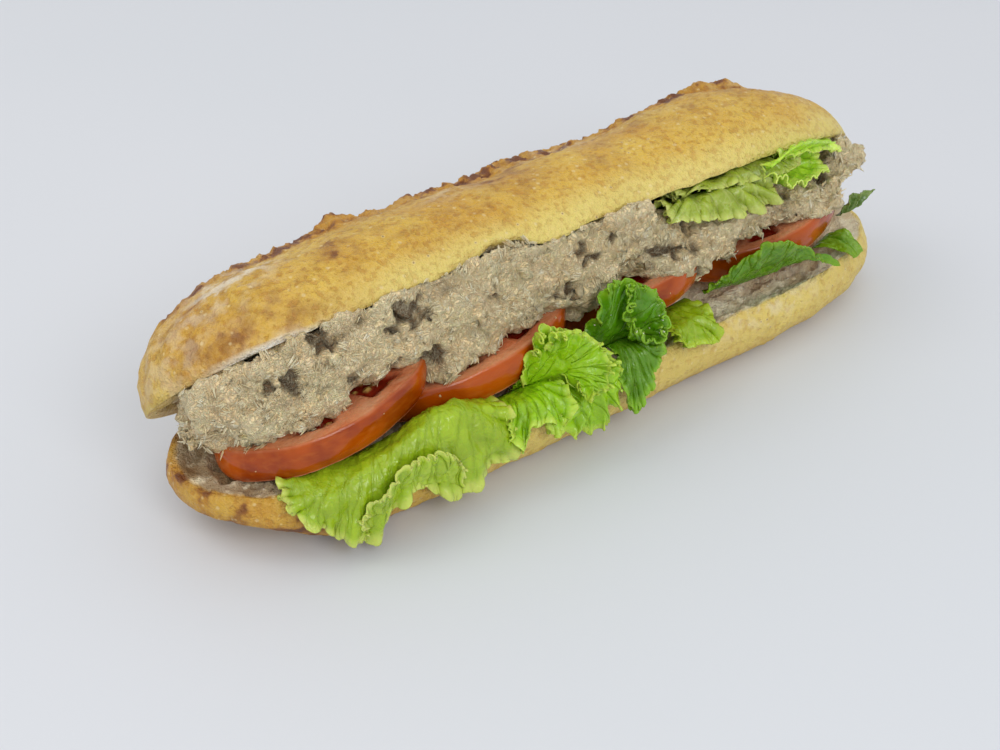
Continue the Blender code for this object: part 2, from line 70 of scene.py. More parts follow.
# Flour on the crown: x, half width, y, half width, and strength
FLOUR_PATCHES = ((-94, 13, -12, 8, 1.3), (-25, 10, -12, 6, 0.5), (20, 20, -6, 5, 0.4))
# Open pores of the crumb: spacing, depth and seed
PORES = ((7, 2.4, 3), (3.4, 1.1, 5), (1.7, 0.45, 8))

# Tomato slices, drawn a little fuller than their solids
SLICE_THICKNESS, SLICE_RISE_X, SLICE_RISE_Y = 8, 0.18, -0.16
SLICE_FULLER_BELOW, SLICE_FULLER_ABOVE, SLICE_FULLER_ROUND = 1.4, 0.6, 1.2
CHAMBERS, CHAMBER_DEPTH, SEED_SPACING, SEED_HEIGHT = 7, 1.3, 2.6, 0.7
SLICE_TURNS, TOP_RINGS, SIDE_RINGS, BOTTOM_RINGS = 180, 30, 15, 10
# Centre x and y, height of the underside, half length and half width
SLICES = {
    "tomato_slice_1": (-79.5, -2.5, 25.0, 29.5, 21),
    "tomato_slice_2": (-33, -2.0, 24.0, 31, 21),
    "tomato_slice_3": (27, -1.0, 25.5, 25, 18),
    "tomato_slice_4": (80, 0.0, 23.6, 27, 19),
}

# Tuna: size of the mash's cells, and numbers of fibre bundles, strands in each and loose wisps
MASH_CELL, BUNDLES, STRANDS, WISPS, STRAND_RINGS = 0.78, 1200, 5, 300, 6
# How high the mash rises under the crown, its foot on the slices, how high it is drawn back, and its gaps
TUNA_RISE, TUNA_FOOT, TUNA_PULL_HEIGHT, GAP_DEPTH = 2.2, 28.5, 13, 2.2
STRAND_SEED, WISP_SEED = 11, 12
# Lumps of the mash, large and small: stretch, spacing, seed, and how far they stand out
LARGE_LUMPS = ((0.75, 1, 1.1), 7, 104, 3.0)
SMALL_LUMPS = ((0.8, 1, 1.2), 2.6, 108, 1.2)
# The mash's lower front edge: x, and how far back it lies
TUNA_PULL = (
    (-120, 12), (-111, 12), (-105, 3), (-92, 5), (-82, 2), (-72, 11), (-59, 9.5), (-51, 0), (-43, 4),
    (-36, 0), (-27, 4), (-16, 9), (-7, 8), (-3, 5), (8, 9), (18, 6), (26, 3), (35, 2), (41, 1), (44, 0),
    (52, 1), (60, 4), (70, 8), (77, 3), (91, 0), (100, 1), (108, 5), (120, 4),
)
# Hollows between the lumps: x, height and size
TUNA_HOLLOWS = (
    (-97, 49, 4.5), (-101, 59, 4), (-60, 56, 4.5), (-53, 42, 4), (-75, 41, 3), (-31, 53, 3), (-12, 45, 3.5),
    (30, 44, 3.5), (2, 52, 3), (98, 46, 3.5), (-84, 56, 3), (66, 50, 3),
)

# Unevenness of the surfaces: how much, how wide, how many ever finer sizes, and seed
UNEVEN = {
    "torn line": (1.6, 6, 3, 31),
    "lip": (0.20, 5, 4, 41),
    "lip tips": (0.16, 1.4, 1, 47),
    "slash floor": (0.6, 4, 1, 5),
    "slash grain": (0.7, 2.6, 3, 9),
    "second lip line": (1.5, 14, 1, 52),
    "second lip height": (1, 17, 1, 53),
    "browned edge": (2.5, 5, 1, 54),
    "crown swell": (1.0, 22, 1, 4),
    "crown waves": (0.55, 9, 3, 12),
    "crown edge": (0.7, 9, 4, 15),
    "torn edge": (1.3, 3, 1, 24),
    "end scores": (3, 12, 1, 27),
    "crust grain": (0.2, 2.0, 3, 21),
    "browned grain": (0.55, 2.2, 3, 22),
    "torn crumb": (1.3, 2.0, 3, 25),
    "crumb line": (0.5, 3, 1, 28),
    "lip toast": (0.45, 4, 1, 33),
    "near toast": (0.5, 13, 2, 34),
    "middle toast": (0.7, 18, 2, 35),
    "far toast": (4, 7, 1, 36),
    "pale side": (3, 14, 1, 38),
    "base crumb": (1, 4, 3, 71),
    "base rim": (0.6, 9, 4, 72),
    "base crumb edge": (0.08, 4, 1, 78),
    "base crust edge": (0.5, 4, 1, 79),
    "base torn side": (0.5, 2.6, 3, 77),
    "base grain": (0.12, 1.6, 2, 75),
    "base waves": (0.45, 7, 3, 76),
    "base toast": (0.6, 9, 1, 80),
    "slice face": (0.18, 3, 3, 91),
    "tuna edge": (2, 6, 1, 99),
    "tuna heaps": (1.8, 12, 1, 111),
    "tuna grain": (0.6, 1.9, 3, 110),
    "tuna gaps": (1, 7, 1, 113),
    "hollow sides": (3.0, 3.2, 1, 115),
    "hollow tops": (3.0, 3.2, 1, 116),
}

LEAF_THICKNESS, LEAF_CELL, LEAF_COLUMNS = 0.45, 0.28, 38
# Leaves: the rim they hang over, how their margin ruffles, their veins and tone, and their paths from root to
# margin. A path has four control points, as in the solids: x, how far out of the rim, and how far above it.
LEAVES = {
    "lettuce_near": dict(
        rim="base", ruffle=2.2, pitch=12, crimp=1.6, lobe=2.4, veins=14, tone="near",
        paths=(
            ((-97, -10, 1.6), (-101, -6, 2.5), (-103.5, 2, 4.5), (-103.6, 4, -1.7)),
            ((-84, -10, 1.6), (-87, -4, 4), (-91, 7, 6), (-92.7, 6, -11.4)),
            ((-74, -10, 1.6), (-76, -3, 8), (-81, 8, 11), (-83.8, 6, -14.3)),
            ((-62, -10, 1.6), (-64, -3.5, 15), (-69, 6, 15), (-71.7, 6, -3.9)),
            ((-52, -10, 1.6), (-54, -3, 18), (-57, 6, 18), (-58.7, 6, -12.3)),
            ((-38, -10, 1.6), (-37, -4, 5), (-37, 6, 8), (-38.6, 5, -7.8)),
        ),
    ),
    "lettuce_near_fold": dict(
        rim="base", ruffle=1.1, pitch=8, crimp=1.1, lobe=1.2, veins=12, tone="pale",
        paths=(
            ((-86, 6, -13), (-86.5, 7, -12), (-88, 8.5, -8), (-88.7, 9, -5.5)),
            ((-81, 6, -9), (-81, 7, -6), (-82.5, 9, -1), (-83, 9.5, 1)),
            ((-75, 6, -3.5), (-75, 7, -1), (-75.5, 9, 5), (-75.2, 9.5, 7)),
            ((-68, 6, -3.5), (-68, 7, -1), (-68, 9, 5), (-68.5, 9, 7.5)),
            ((-61, 6, -6), (-61, 7, -3), (-61.5, 8, 3), (-62, 8, 5.5)),
            ((-56, 6, -10), (-56, 6.5, -8), (-56, 8, -4), (-56.5, 8, -1.5)),
        ),
    ),
    "lettuce_frill": dict(
        rim="base", ruffle=2.0, pitch=9, crimp=1.6, lobe=2.2, veins=9, tone="frill",
        paths=(
            ((-30, -9, 2), (-29.5, -3, 6), (-28.5, -1, 15), (-27, -1, 23)),
            ((-27, -9, 2), (-25, -2, 6), (-21, -0.5, 15), (-19, -0.5, 23)),
            ((-24, -9, 2), (-20, -1, 5), (-13, 3, 12), (-7.9, 3, 14.5)),
            ((-22, -9, 2), (-17, 1, 4), (-8, 6, 8), (-2, 6.5, 4.6)),
            ((-20, -9, 2), (-16, 2, 3.5), (-9, 8, 3), (-8.1, 6, -11.8)),
            ((-21, -8.5, 2), (-20, 2, 3), (-22, 8, 2), (-24.3, 5, -6.8)),
        ),
    ),
    "lettuce_frill_low": dict(
        rim="base", ruffle=1.5, pitch=8, crimp=1.5, lobe=1.8, veins=9, tone="frill",
        paths=(
            ((-39, -8, 2), (-39, 0, 5), (-38.6, 4, 3.5), (-42, 7, 0.2)),
            ((-35, -8, 2), (-35, -1, 6), (-34, 3, 6), (-38, 7.5, -5.7)),
            ((-32, -8, 2), (-32, -1, 7), (-31, 4, 6), (-34.2, 7, 0.6)),
            ((-28, -8, 2), (-28, -1, 7), (-27, 4, 6), (-29.1, 7, -0.6)),
            ((-24, -8, 2), (-24, -1, 7), (-23, 4, 5.5), (-25.8, 7.5, -5.9)),
            ((-20, -8, 2), (-20, -1, 7), (-19, 4, 5), (-18.5, 7, 1)),
        ),
    ),
    "lettuce_frill_over": dict(
        rim="base", ruffle=1.6, pitch=8, crimp=1.5, lobe=1.8, veins=8, tone="frill",
        paths=(
            ((-26, -6, 8), (-26, -2, 14), (-25, 1, 20), (-24.1, 2, 24.7)),
            ((-20, -6, 8), (-20, 0, 13), (-18, 3, 18), (-14.5, 3.5, 21.8)),
            ((-18, -6, 6), (-17, 1, 10), (-13, 5, 13), (-7.3, 5, 14.5)),
            ((-18, -6, 5), (-17, 2, 8), (-12, 7, 9), (-6.8, 8, 3.8)),
            ((-19, -6, 5), (-18, 2, 7), (-17, 8, 7), (-16.7, 9, 3.1)),
        ),
    ),
    "lettuce_dark_low": dict(
        rim="base", ruffle=1.3, pitch=7, crimp=1.4, lobe=1.6, veins=8, tone="curl",
        paths=(
            ((0, -4, 7), (-1, 1, 9), (-2, 4, 8), (-3.5, 6, 2)),
            ((3, -4, 7), (2, 1, 9), (1, 6, 5), (1.5, 8.5, -8.7)),
            ((5, -4, 7), (5, 2, 9), (5.5, 7, 5), (5.5, 8.5, -3.9)),
            ((8, -4, 7), (8, 2, 9), (9, 6, 7), (9.5, 7.5, 0)),
            ((11, -4, 7), (11, 1, 9), (13, 4, 8), (14, 5, 4)),
        ),
    ),
    "lettuce_dark": dict(
        rim="base", ruffle=1.9, pitch=9, crimp=1.5, lobe=2.2, veins=8, tone="dark",
        paths=(
            ((-11, -9.5, 2), (-9, -4.5, 7), (-5, -2.5, 17), (-2, -2.5, 30)),
            ((-5, -9.5, 2), (-3, -3.5, 8), (3, -1.5, 18), (7, -1.5, 27)),
            ((2, -10, 2), (4, -4, 6), (11, 0, 13), (16.5, 0.5, 19.5)),
            ((8, -11, 2), (9, -2, 4), (12, 3, 10), (13.1, 4, 8)),
            ((9, -10, 2), (9, 0, 3.5), (9, 7, 3), (8, 5.5, -3)),
            ((6, -10, 2), (5, 1, 3.5), (3, 8, 1), (1.2, 6.5, -10.8)),
        ),
    ),
    "lettuce_dark_curl": dict(
        rim="base", ruffle=1.0, pitch=6, crimp=1.2, lobe=0.9, veins=8, tone="curl",
        paths=(
            ((8, -3, 9), (5, -1, 12), (3, 2.5, 17), (3.5, 2, 22)),
            ((8, -3, 9), (6, -2, 15), (4, 0, 24), (5.5, -1, 27)),
            ((8.5, -3, 9), (9, -2.5, 15), (12, -1.5, 21), (12.5, -1, 23.5)),
            ((9, -3, 8), (11, -1.5, 12), (15.5, 1, 15), (16.5, 2.5, 16)),
            ((9, -3, 8), (10, 0, 9), (14, 4.5, 10), (13.5, 6, 10.5)),
            ((8.5, -3, 8), (7, 1, 9), (8, 5.5, 10), (6.5, 6.5, 13)),
            ((8, -3, 9), (5, 0, 11), (2.5, 4, 15), (3, 4, 19)),
        ),
    ),
    "lettuce_tucked_back": dict(
        rim="crown", ruffle=1.9, pitch=8, crimp=1.3, lobe=1.6, veins=8, tone="tucked",
        paths=(
            ((34, -12, -13), (35, -7, -6), (35, -3, -2), (35, -1, -3)),
            ((54, -12, -13), (55, -7, -4), (56, -2, -0.5), (57, 2, -5)),
            ((68, -12, -13), (69, -7, -3), (71, -1, 0), (72, 4, -6)),
            ((82, -12, -12), (82, -6, -3), (83, -1, -1), (83, 3, -5)),
        ),
    ),
    "lettuce_bright_curl": dict(
        rim="crown", ruffle=1.2, pitch=7, crimp=1.1, lobe=1.2, veins=7, tone="lit",
        paths=(
            ((76, -8, -7), (76, -4, -3), (75, -1, 0), (73, 2, -1)),
            ((84, -8, -7), (84, -4, -1), (84, 0, 2), (83, 4, -1)),
            ((93, -8, -7), (93, -4, -1), (94, 0, 2), (94, 4, -2)),
            ((100, -8, -8), (101, -4, -3), (103, 0, -1), (104, 3, -5)),
        ),
    ),
    "lettuce_light": dict(
        rim="base", ruffle=1.3, pitch=9, crimp=1.1, lobe=1.8, veins=6, tone="light",
        paths=(
            ((19, -12, 2), (19, -5, 5), (19, 2, 8), (19, 4, 6)),
            ((28, -13, 2), (28, -6.5, 4.5), (27, 1, 7), (25, 5, 1.2)),
            ((40, -14, 2), (41, -7, 4.5), (41, 1, 5), (38.5, 5, -2.9)),
        ),
    ),
    "lettuce_folded": dict(
        rim="base", ruffle=1.4, pitch=14, crimp=0.8, lobe=1.3, veins=7, tone="folded",
        paths=(
            ((47, -14, 2), (46, -11, 3), (45, -10, 4.5), (47, -9, 7)),
            ((62, -10, 2), (63, -5, 5), (65, -2, 13), (65, -1.5, 19)),
            ((80, -9, 2), (83, -4, 5), (87, 1, 8), (89, 4, 3)),
        ),
    ),
    "lettuce_end_low": dict(
        rim="base", ruffle=0.8, pitch=9, crimp=0.4, lobe=0.6, veins=4, tone="folded",
        paths=(
            ((92, -9, 2), (94, -5, 4), (96, -1, 5), (97, 4, 1.5)),
            ((100, -9, 3), (103, -5, 7), (104, -1, 7), (103, 5, 2)),
        ),
    ),
    "lettuce_end_high": dict(
        rim="base", ruffle=0.9, pitch=8, crimp=0.4, lobe=0.6, veins=3, tone="blue",
        paths=(
            ((107, -8, 7), (107, -6, 11), (107, -5, 14), (108, -4, 16)),
            ((110, -11, 4), (113, -6, 6), (117, -1, 9), (120, 3, 13)),
        ),
    ),
    "lettuce_tucked": dict(
        rim="crown", ruffle=2.1, pitch=9, crimp=1.3, lobe=1.9, veins=8, tone="tucked",
        paths=(
            ((29, -14, -16.5), (29, -6, -7.8), (29, 1.5, 1.2), (28, 3, -7)),
            ((47, -14, -16.5), (47, -6, -7.8), (48, 3, 1.2), (48, 6.5, -11.5)),
            ((62, -14, -17), (65, -6, -8.6), (67, 3, 0.5), (71, 6.5, -12.5)),
        ),
    ),
    "lettuce_bright": dict(
        rim="crown", ruffle=1.5, pitch=7, crimp=1.0, lobe=1.2, veins=7, tone="lit",
        paths=(
            ((65, 7, 1), (67, -2, -2), (67, 0, -6), (66, 7.5, -3)),
            ((76, 8, 6), (78, -4, -7), (79, -9, -12.5), (78, 8, -8)),
            ((96, 6, 1), (96, -3, -3), (96, -3, -7), (94, 6.5, -8)),
        ),
    ),
}
# Each tone of leaf: its blade, its margin and its veins
LEAF_TONES = {
    "near": ((166, 196, 34), (212, 224, 108), (132, 166, 24)),
    "pale": ((176, 204, 50), (214, 226, 116), (130, 164, 30)),
    "frill": ((162, 210, 24), (196, 222, 80), (110, 158, 18)),
    "lit": ((190, 232, 60), (220, 240, 116), (140, 190, 40)),
    "dark": ((92, 152, 10), (136, 180, 34), (118, 158, 50)),
    "curl": ((94, 146, 10), (144, 192, 38), (118, 160, 40)),
    "light": ((146, 180, 14), (178, 202, 44), (174, 196, 60)),
    "folded": ((88, 138, 4), (128, 168, 20), (142, 178, 54)),
    "blue": ((86, 120, 40), (134, 154, 78), (140, 160, 94)),
    "tucked": ((158, 178, 50), (202, 212, 112), (192, 204, 116)),
}

# Colours on a screen, from 0 to 255
TONES = {
    "gold": (224, 186, 68),
    "deep gold": (210, 160, 42),
    "pale gold": (228, 210, 118),
    # crust crackle and painted glints: fine lighter specks over the gold
    "crust crackle and glint": (238, 210, 132),
    "freckle": (184, 122, 30),
    "amber": (186, 122, 26),
    "deep amber": (146, 84, 20),
    "burnt": (102, 54, 22),
    "pale dot": (238, 216, 160),
    "burnt dot": (120, 74, 34),
    "flour": (236, 224, 200),
    "crumb": (242, 230, 198),
    "deep crumb": (218, 198, 160),
    # painted shade in the crumb's pores
    "pore shade": (160, 126, 84),
    "crumb dot": (240, 232, 212),
    # painted shade on the crumb at the near end, under the tomato slices
    "crumb shade near end": (140, 108, 68),
    "white crumb": (250, 246, 236),
    "tuna": (255, 238, 182),
    "warm tuna": (246, 214, 156),
    "pale tuna": (248, 232, 194),
    "tuna lump": (240, 216, 172),
    # painted shade in the mash's crevices and gaps
    "tuna crevice shade": (78, 52, 28),
    "tuna gap": (182, 146, 96),
    "tuna fibre": (254, 242, 206),
    "warm strand": (236, 206, 156),
    "pale strand": (254, 240, 196),
    "cream strand": (254, 246, 218),
    "strand patch": (236, 210, 164),
    "strand gap": (190, 154, 104),
    "peel": (184, 80, 1),
    "deep peel": (144, 52, 1),
    "peel streak": (206, 112, 36),
    "meat": (222, 150, 106),
    "deep meat": (212, 122, 78),
    "meat streak": (230, 172, 132),
    "core": (190, 74, 44),
    "chamber": (136, 34, 14),
    "seed": (214, 178, 96),
    "dressing": (240, 236, 220),
    "deep dressing": (222, 212, 186),
    "table": (219, 221, 226),
    "deep table": (216, 219, 224),
}
# Cloudy patches: scale, detail, from and to which value of the cloud they fade in, and stretch along the loaf
CLOUDS = {
    "crust tones": (48.0, 5.0, 0.38, 0.66, 1.6),
    "crust patches": (170.0, 8.0, 0.40, 0.64, 1.0),
    # the fine specks of crust crackle and painted glints
    "crust grain": (900.0, 5.0, 0.35, 0.7, 1.0),
    "freckles": (520.0, 8.0, 0.5, 0.66, 1.0),
    "flour": (240.0, 9.0, 0.42, 0.62, 1.0),
    # cloudy patches of painted shade in the crumb's pores
    "pores": (420.0, 6.0, 0.52, 0.7, 1.0),
    # patches of painted shade on the crumb at the near end
    "crumb shade near end": (260.0, 8.0, 0.32, 0.5, 1.0),
    "mash tones": (110.0, 5.0, 0.36, 0.64, 1.0),
    "mash grain": (700.0, 8.0, 0.35, 0.65, 1.0),
    "strands": (300.0, 4.0, 0.35, 0.65, 1.0),
    "tomato tones": (70.0, 3.0, 0.36, 0.66, 1.0),
    "tomato streaks": (600.0, 6.0, 0.45, 0.7, 4.0),
    "wet tomato": (420.0, 5.0, 0.4, 0.62, 1.0),
    "leaf": (130.0, 4.0, 0.35, 0.68, 1.0),
    "dressing": (700.0, 4.0, 0.35, 0.65, 1.0),
    "table": (3.0, 2.0, 0.3, 0.7, 1.0),
}

# The camera and the lamps, in metres: place, size, power and colour of each lamp
CAMERA_PLACE, CAMERA_TURN, CAMERA_LENS = (-0.24224, -0.30591, 0.28177), (54.412, 0.0, -36.131), 57.6
SKY_COLOUR, SKY_STRENGTH = (0.97, 0.985, 1.0, 1.0), 0.76
LAMP_AIM = (0, 0, 0.02)
LAMPS = {
    "window": ((-0.55, 0.30, 0.85), 0.6, 1.7, (1.0, 0.98, 0.95)),
    "overhead": ((-0.15, -0.95, 0.80), 0.6, 4.2, (1.0, 1.0, 1.0)),
}


# Shared arithmetic


def smooth(low, high, value):
    """0 below low, 1 above high, and an even S between them."""
    share = np.clip((value - low) / (high - low), 0.0, 1.0)
    return share * share * (3 - 2 * share)


def bump(value, centre, width):
    """1 at the centre, fading to nothing about two widths away."""
    return np.exp(-(((value - centre) / width) ** 2))


def arc(share, fullness):
    """1 in the middle falling to 0 at share 1; a larger fullness gives a boxier arc."""
    return np.sqrt(np.maximum(0.0, 1 - np.abs(share) ** fullness))


def mix(a, b, share):
    return a + (b - a) * share


def hashed(cells, seed):
    """A number from -1 to 1 for each whole-number cell, the same each time."""
    x, y, z = (cells[:, axis].astype(np.uint32) for axis in range(3))
    value = x * np.uint32(374761393) + y * np.uint32(668265263) + z * np.uint32(3266489917)
    value = value + np.uint32(seed * 2654435761 % 4294967296)
    value = (value ^ (value >> np.uint32(13))) * np.uint32(1274126177)
    value = (value ^ (value >> np.uint32(15))) * np.uint32(2246822519)
    value = value ^ (value >> np.uint32(16))
    return value.astype(float) / 2147483648 - 1


def hashed3(cells, seed):
    """Three such numbers for each cell."""
    return np.stack([hashed(cells, seed + axis) for axis in range(3)], axis=1)


def lumps(points, size, seed=0):
    """Smooth unevenness between about -1 and 1, with lumps of that size."""
    scaled = points / size
    cell = np.floor(scaled).astype(np.int64)
    rest = scaled - cell
    ease = rest * rest * rest * (rest * (rest * 6 - 15) + 10)
    total = np.zeros(len(points))
    for corner in product((0, 1), repeat=3):
        corner = np.array(corner)
        weight = np.prod(np.where(corner, ease, 1 - ease), axis=1)
        total += weight * ((rest - corner) * hashed3(cell + corner, seed * 3)).sum(axis=1)
    return total * 1.7


def lumps3(points, size, seed):
    """Three such values for each point, as a direction."""
    return np.stack([lumps(points, size, seed + axis) for axis in range(3)], axis=1)


def rough(points, size, octaves, seed):
    """Unevenness with ever finer lumps on it."""
    total = np.zeros(len(points))
    for step in range(octaves):
        total += lumps(points, size / 2**step, seed + 17 * step) / 2**step
    return total


def uneven(name, points):
    """The unevenness listed under that name."""
    much, wide, sizes, seed = UNEVEN[name]
    return much * rough(points, wide, sizes, seed)


def nearest_dot(points, size, seed):
    """Distance to the nearest scattered dot, as a share of their spacing, and the dot's own number."""
    scaled = points / size
    cell = np.floor(scaled).astype(np.int64)
    best = np.full(len(points), 9.0)
    own = np.zeros(len(points))
    for step in product((-1, 0, 1), repeat=3):
        other = cell + np.array(step)
        dot = other + 0.5 + 0.45 * hashed3(other, seed * 5)
        away = np.sqrt(((dot - scaled) ** 2).sum(axis=1))
        nearer = away < best
        best = np.where(nearer, away, best)
        own = np.where(nearer, hashed(other, seed * 5 + 3), own)
    return best, own


def flat3(x, y=0.0, z=0.0):
    """Three columns as points."""
    return np.stack(np.broadcast_arrays(x, y, z), axis=-1).reshape(-1, 3)


def unit(ways, least=1e-9):
    """The same directions at length 1, or shorter where they are next to nothing."""
    return ways / np.maximum(np.linalg.norm(ways, axis=-1, keepdims=True), least)


def normals_of(points, faces):
    """The surface's direction at each point of a mesh of four-cornered faces."""
    a, b, c, d = (points[faces[:, corner]] for corner in range(4))
    across = np.cross(c - a, d - b)
    total = np.zeros_like(points)
    for corner in range(4):
        np.add.at(total, faces[:, corner], across)
    return unit(total, 1e-6)


def sheet_faces(number):
    """The four-cornered faces of a sheet of numbered points."""
    corners = (number[:-1, :-1], number[1:, :-1], number[1:, 1:], number[:-1, 1:])
    return np.stack(corners, axis=-1).reshape(-1, 4)


def cells_shell(counts, spacing=None):
    """The surface of a block of cells from -1 to 1: its points, and its faces as four corners."""
    lines = [np.linspace(-1, 1, count + 1) for count in counts]
    if spacing:
        lines = [spacing[axis](line) if axis in spacing else line for axis, line in enumerate(lines)]
    grid = np.stack(np.meshgrid(*lines, indexing="ij"), axis=-1)
    outside = np.ones(grid.shape[:3], bool)
    outside[1:-1, 1:-1, 1:-1] = False
    number = np.full(grid.shape[:3], -1)
    number[outside] = np.arange(outside.sum())
    faces = []
    for axis in range(3):
        for side in (0, -1):
            quads = sheet_faces(np.take(number, side, axis=axis))
            turned = (side == 0) != (axis == 1)
            faces.append(quads[:, ::-1] if turned else quads)
    return grid[outside], np.concatenate(faces)


def placed(name, data):
    """A new object in the scene."""
    made = bpy.data.objects.new(name, data)
    bpy.context.scene.collection.objects.link(made)
    return made


def piece(name, points, faces, finish, nodes=(), masks=None):
    """A smooth-shaded mesh that rides on the sandwich and stands for the named solids."""
    data = bpy.data.meshes.new(name)
    data.from_pydata((points * MM).tolist(), [], faces)
    data.shade_smooth()
    for mask, values in (masks or {}).items():
        layer = data.attributes.new(mask, "FLOAT", "POINT")
        layer.data.foreach_set("value", np.ravel(values).astype(np.float32))
    data.materials.append(finish)
    made = placed(name, data)
    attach(made, "root")
    if nodes:
        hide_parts(*nodes)
    return made


# The loaf


def half_width(x, length, middle):
    slimmer = 1 - FAR_SLIMMING * smooth(SLIM_FROM_X, SLIM_TO_X, x)
    share = 2 * (x - middle) / length
    return LOAF_WIDTH / 2 * slimmer * np.where(x < middle, arc(share, 6.0), arc(share, 5.0))


def near_end(x):
    """0 along the loaf, rising to 1 at its near end."""
    return smooth(NEAR_END_FROM_X, NEAR_END_TO_X, x)


def plan(s, t, length, middle):
    """The plan position on the loaf of a point of a block's top or bottom face."""
    u = s * np.sqrt(1 - t * t / 2)
    v = t * np.sqrt(1 - s * s / 2)
    across = np.where(np.abs(u) < 0.9999, v / np.sqrt(np.maximum(1 - u * u, 1e-8)), 0.0)
    across = np.clip(across, -1, 1)
    x = middle + length / 2 * u
    return x, half_width(x, length, middle) * np.copysign(np.abs(across) ** 1.2, across)


def pressed(rim_share):
    """How deep the filling presses the cut face in, away from its rim."""
    return DISH_DEPTH * (1 - smooth(0.72, 0.97, rim_share))


def pore_depth(points, strength):
    """Open pores of the crumb: round pits of many sizes."""
    depth = np.zeros(len(points))
    for size, crevice_shade, seed in PORES:
        away, own = nearest_dot(points + 0.3 * size * lumps(points, size, seed)[:, None], size, seed)
        depth += crevice_shade * smooth(0.52, 0.12, away) * (own > -0.3)
    return depth * strength


def opened(points):
    """Points of the shut crown, turned about the uncut back of the loaf."""
    cosine, sine = math.cos(-MOUTH_ANGLE), math.sin(-MOUTH_ANGLE)
    x, y, z = points[:, 0], points[:, 1] - HINGE_Y, points[:, 2]
    return flat3(x, HINGE_Y + cosine * y - sine * z, BASE_HEIGHT + sine * y + cosine * z)


def dome(x, y):
    """The height of the smooth crown over its cut face."""
    width = np.maximum(half_width(x, CROWN_LENGTH, CROWN_MIDDLE_X), 1e-3)
    along = 2 * (x - CROWN_MIDDLE_X) / CROWN_LENGTH
    height = CROWN_HEIGHT + CROWN_SWELL * smooth(SWELL_FROM_X, SWELL_TO_X, x)
    across = np.minimum(1.0, np.abs(y) / width)
    return height * np.where(along < 0, arc(along, 6.5), arc(along, 3.6)) * arc(across, 2.2)


def slash_relief(x, y):
    """The torn lip and the rough hollow behind it, and masks of the lip, the hollow and the browning."""
    fade = arc(2 * (x - CROWN_MIDDLE_X) / (CROWN_LENGTH * 0.96), 6)
    line = flat3(x)
    spots = flat3(x * 0.55, y)
    away = y - 0.8 * (1 + np.sin(x / 31)) - uneven("torn line", line)
    height = 0.52 + uneven("lip", line) + uneven("lip tips", line)
    height = height + sum(peak * bump(x, peak_x, width) for peak_x, width, peak in LIP_PEAKS)
    on_lip = bump(away, 0, np.where(away < 0, LIP_WIDTH * 1.15, LIP_WIDTH * 0.4))
    inside = smooth(1.2, 4, away) * (1 - smooth(SLASH_WIDTH * 0.7, SLASH_WIDTH, away))
    hollow = inside * (SLASH_DEPTH * (1 + uneven("slash floor", spots)) + uneven("slash grain", spots))
    second = bump(away, 5.5 + uneven("second lip line", line), 1.3)
    second = second * np.clip(uneven("second lip height", line) + 0.3, 0, 1)
    lip = LIP_HEIGHT * (height * on_lip + 0.4 * second)
    browning = np.maximum(bump(away + uneven("browned edge", spots), -2, 8), second)
    return fade * (lip - hollow), fade * np.maximum(on_lip, second), fade * inside, fade * browning


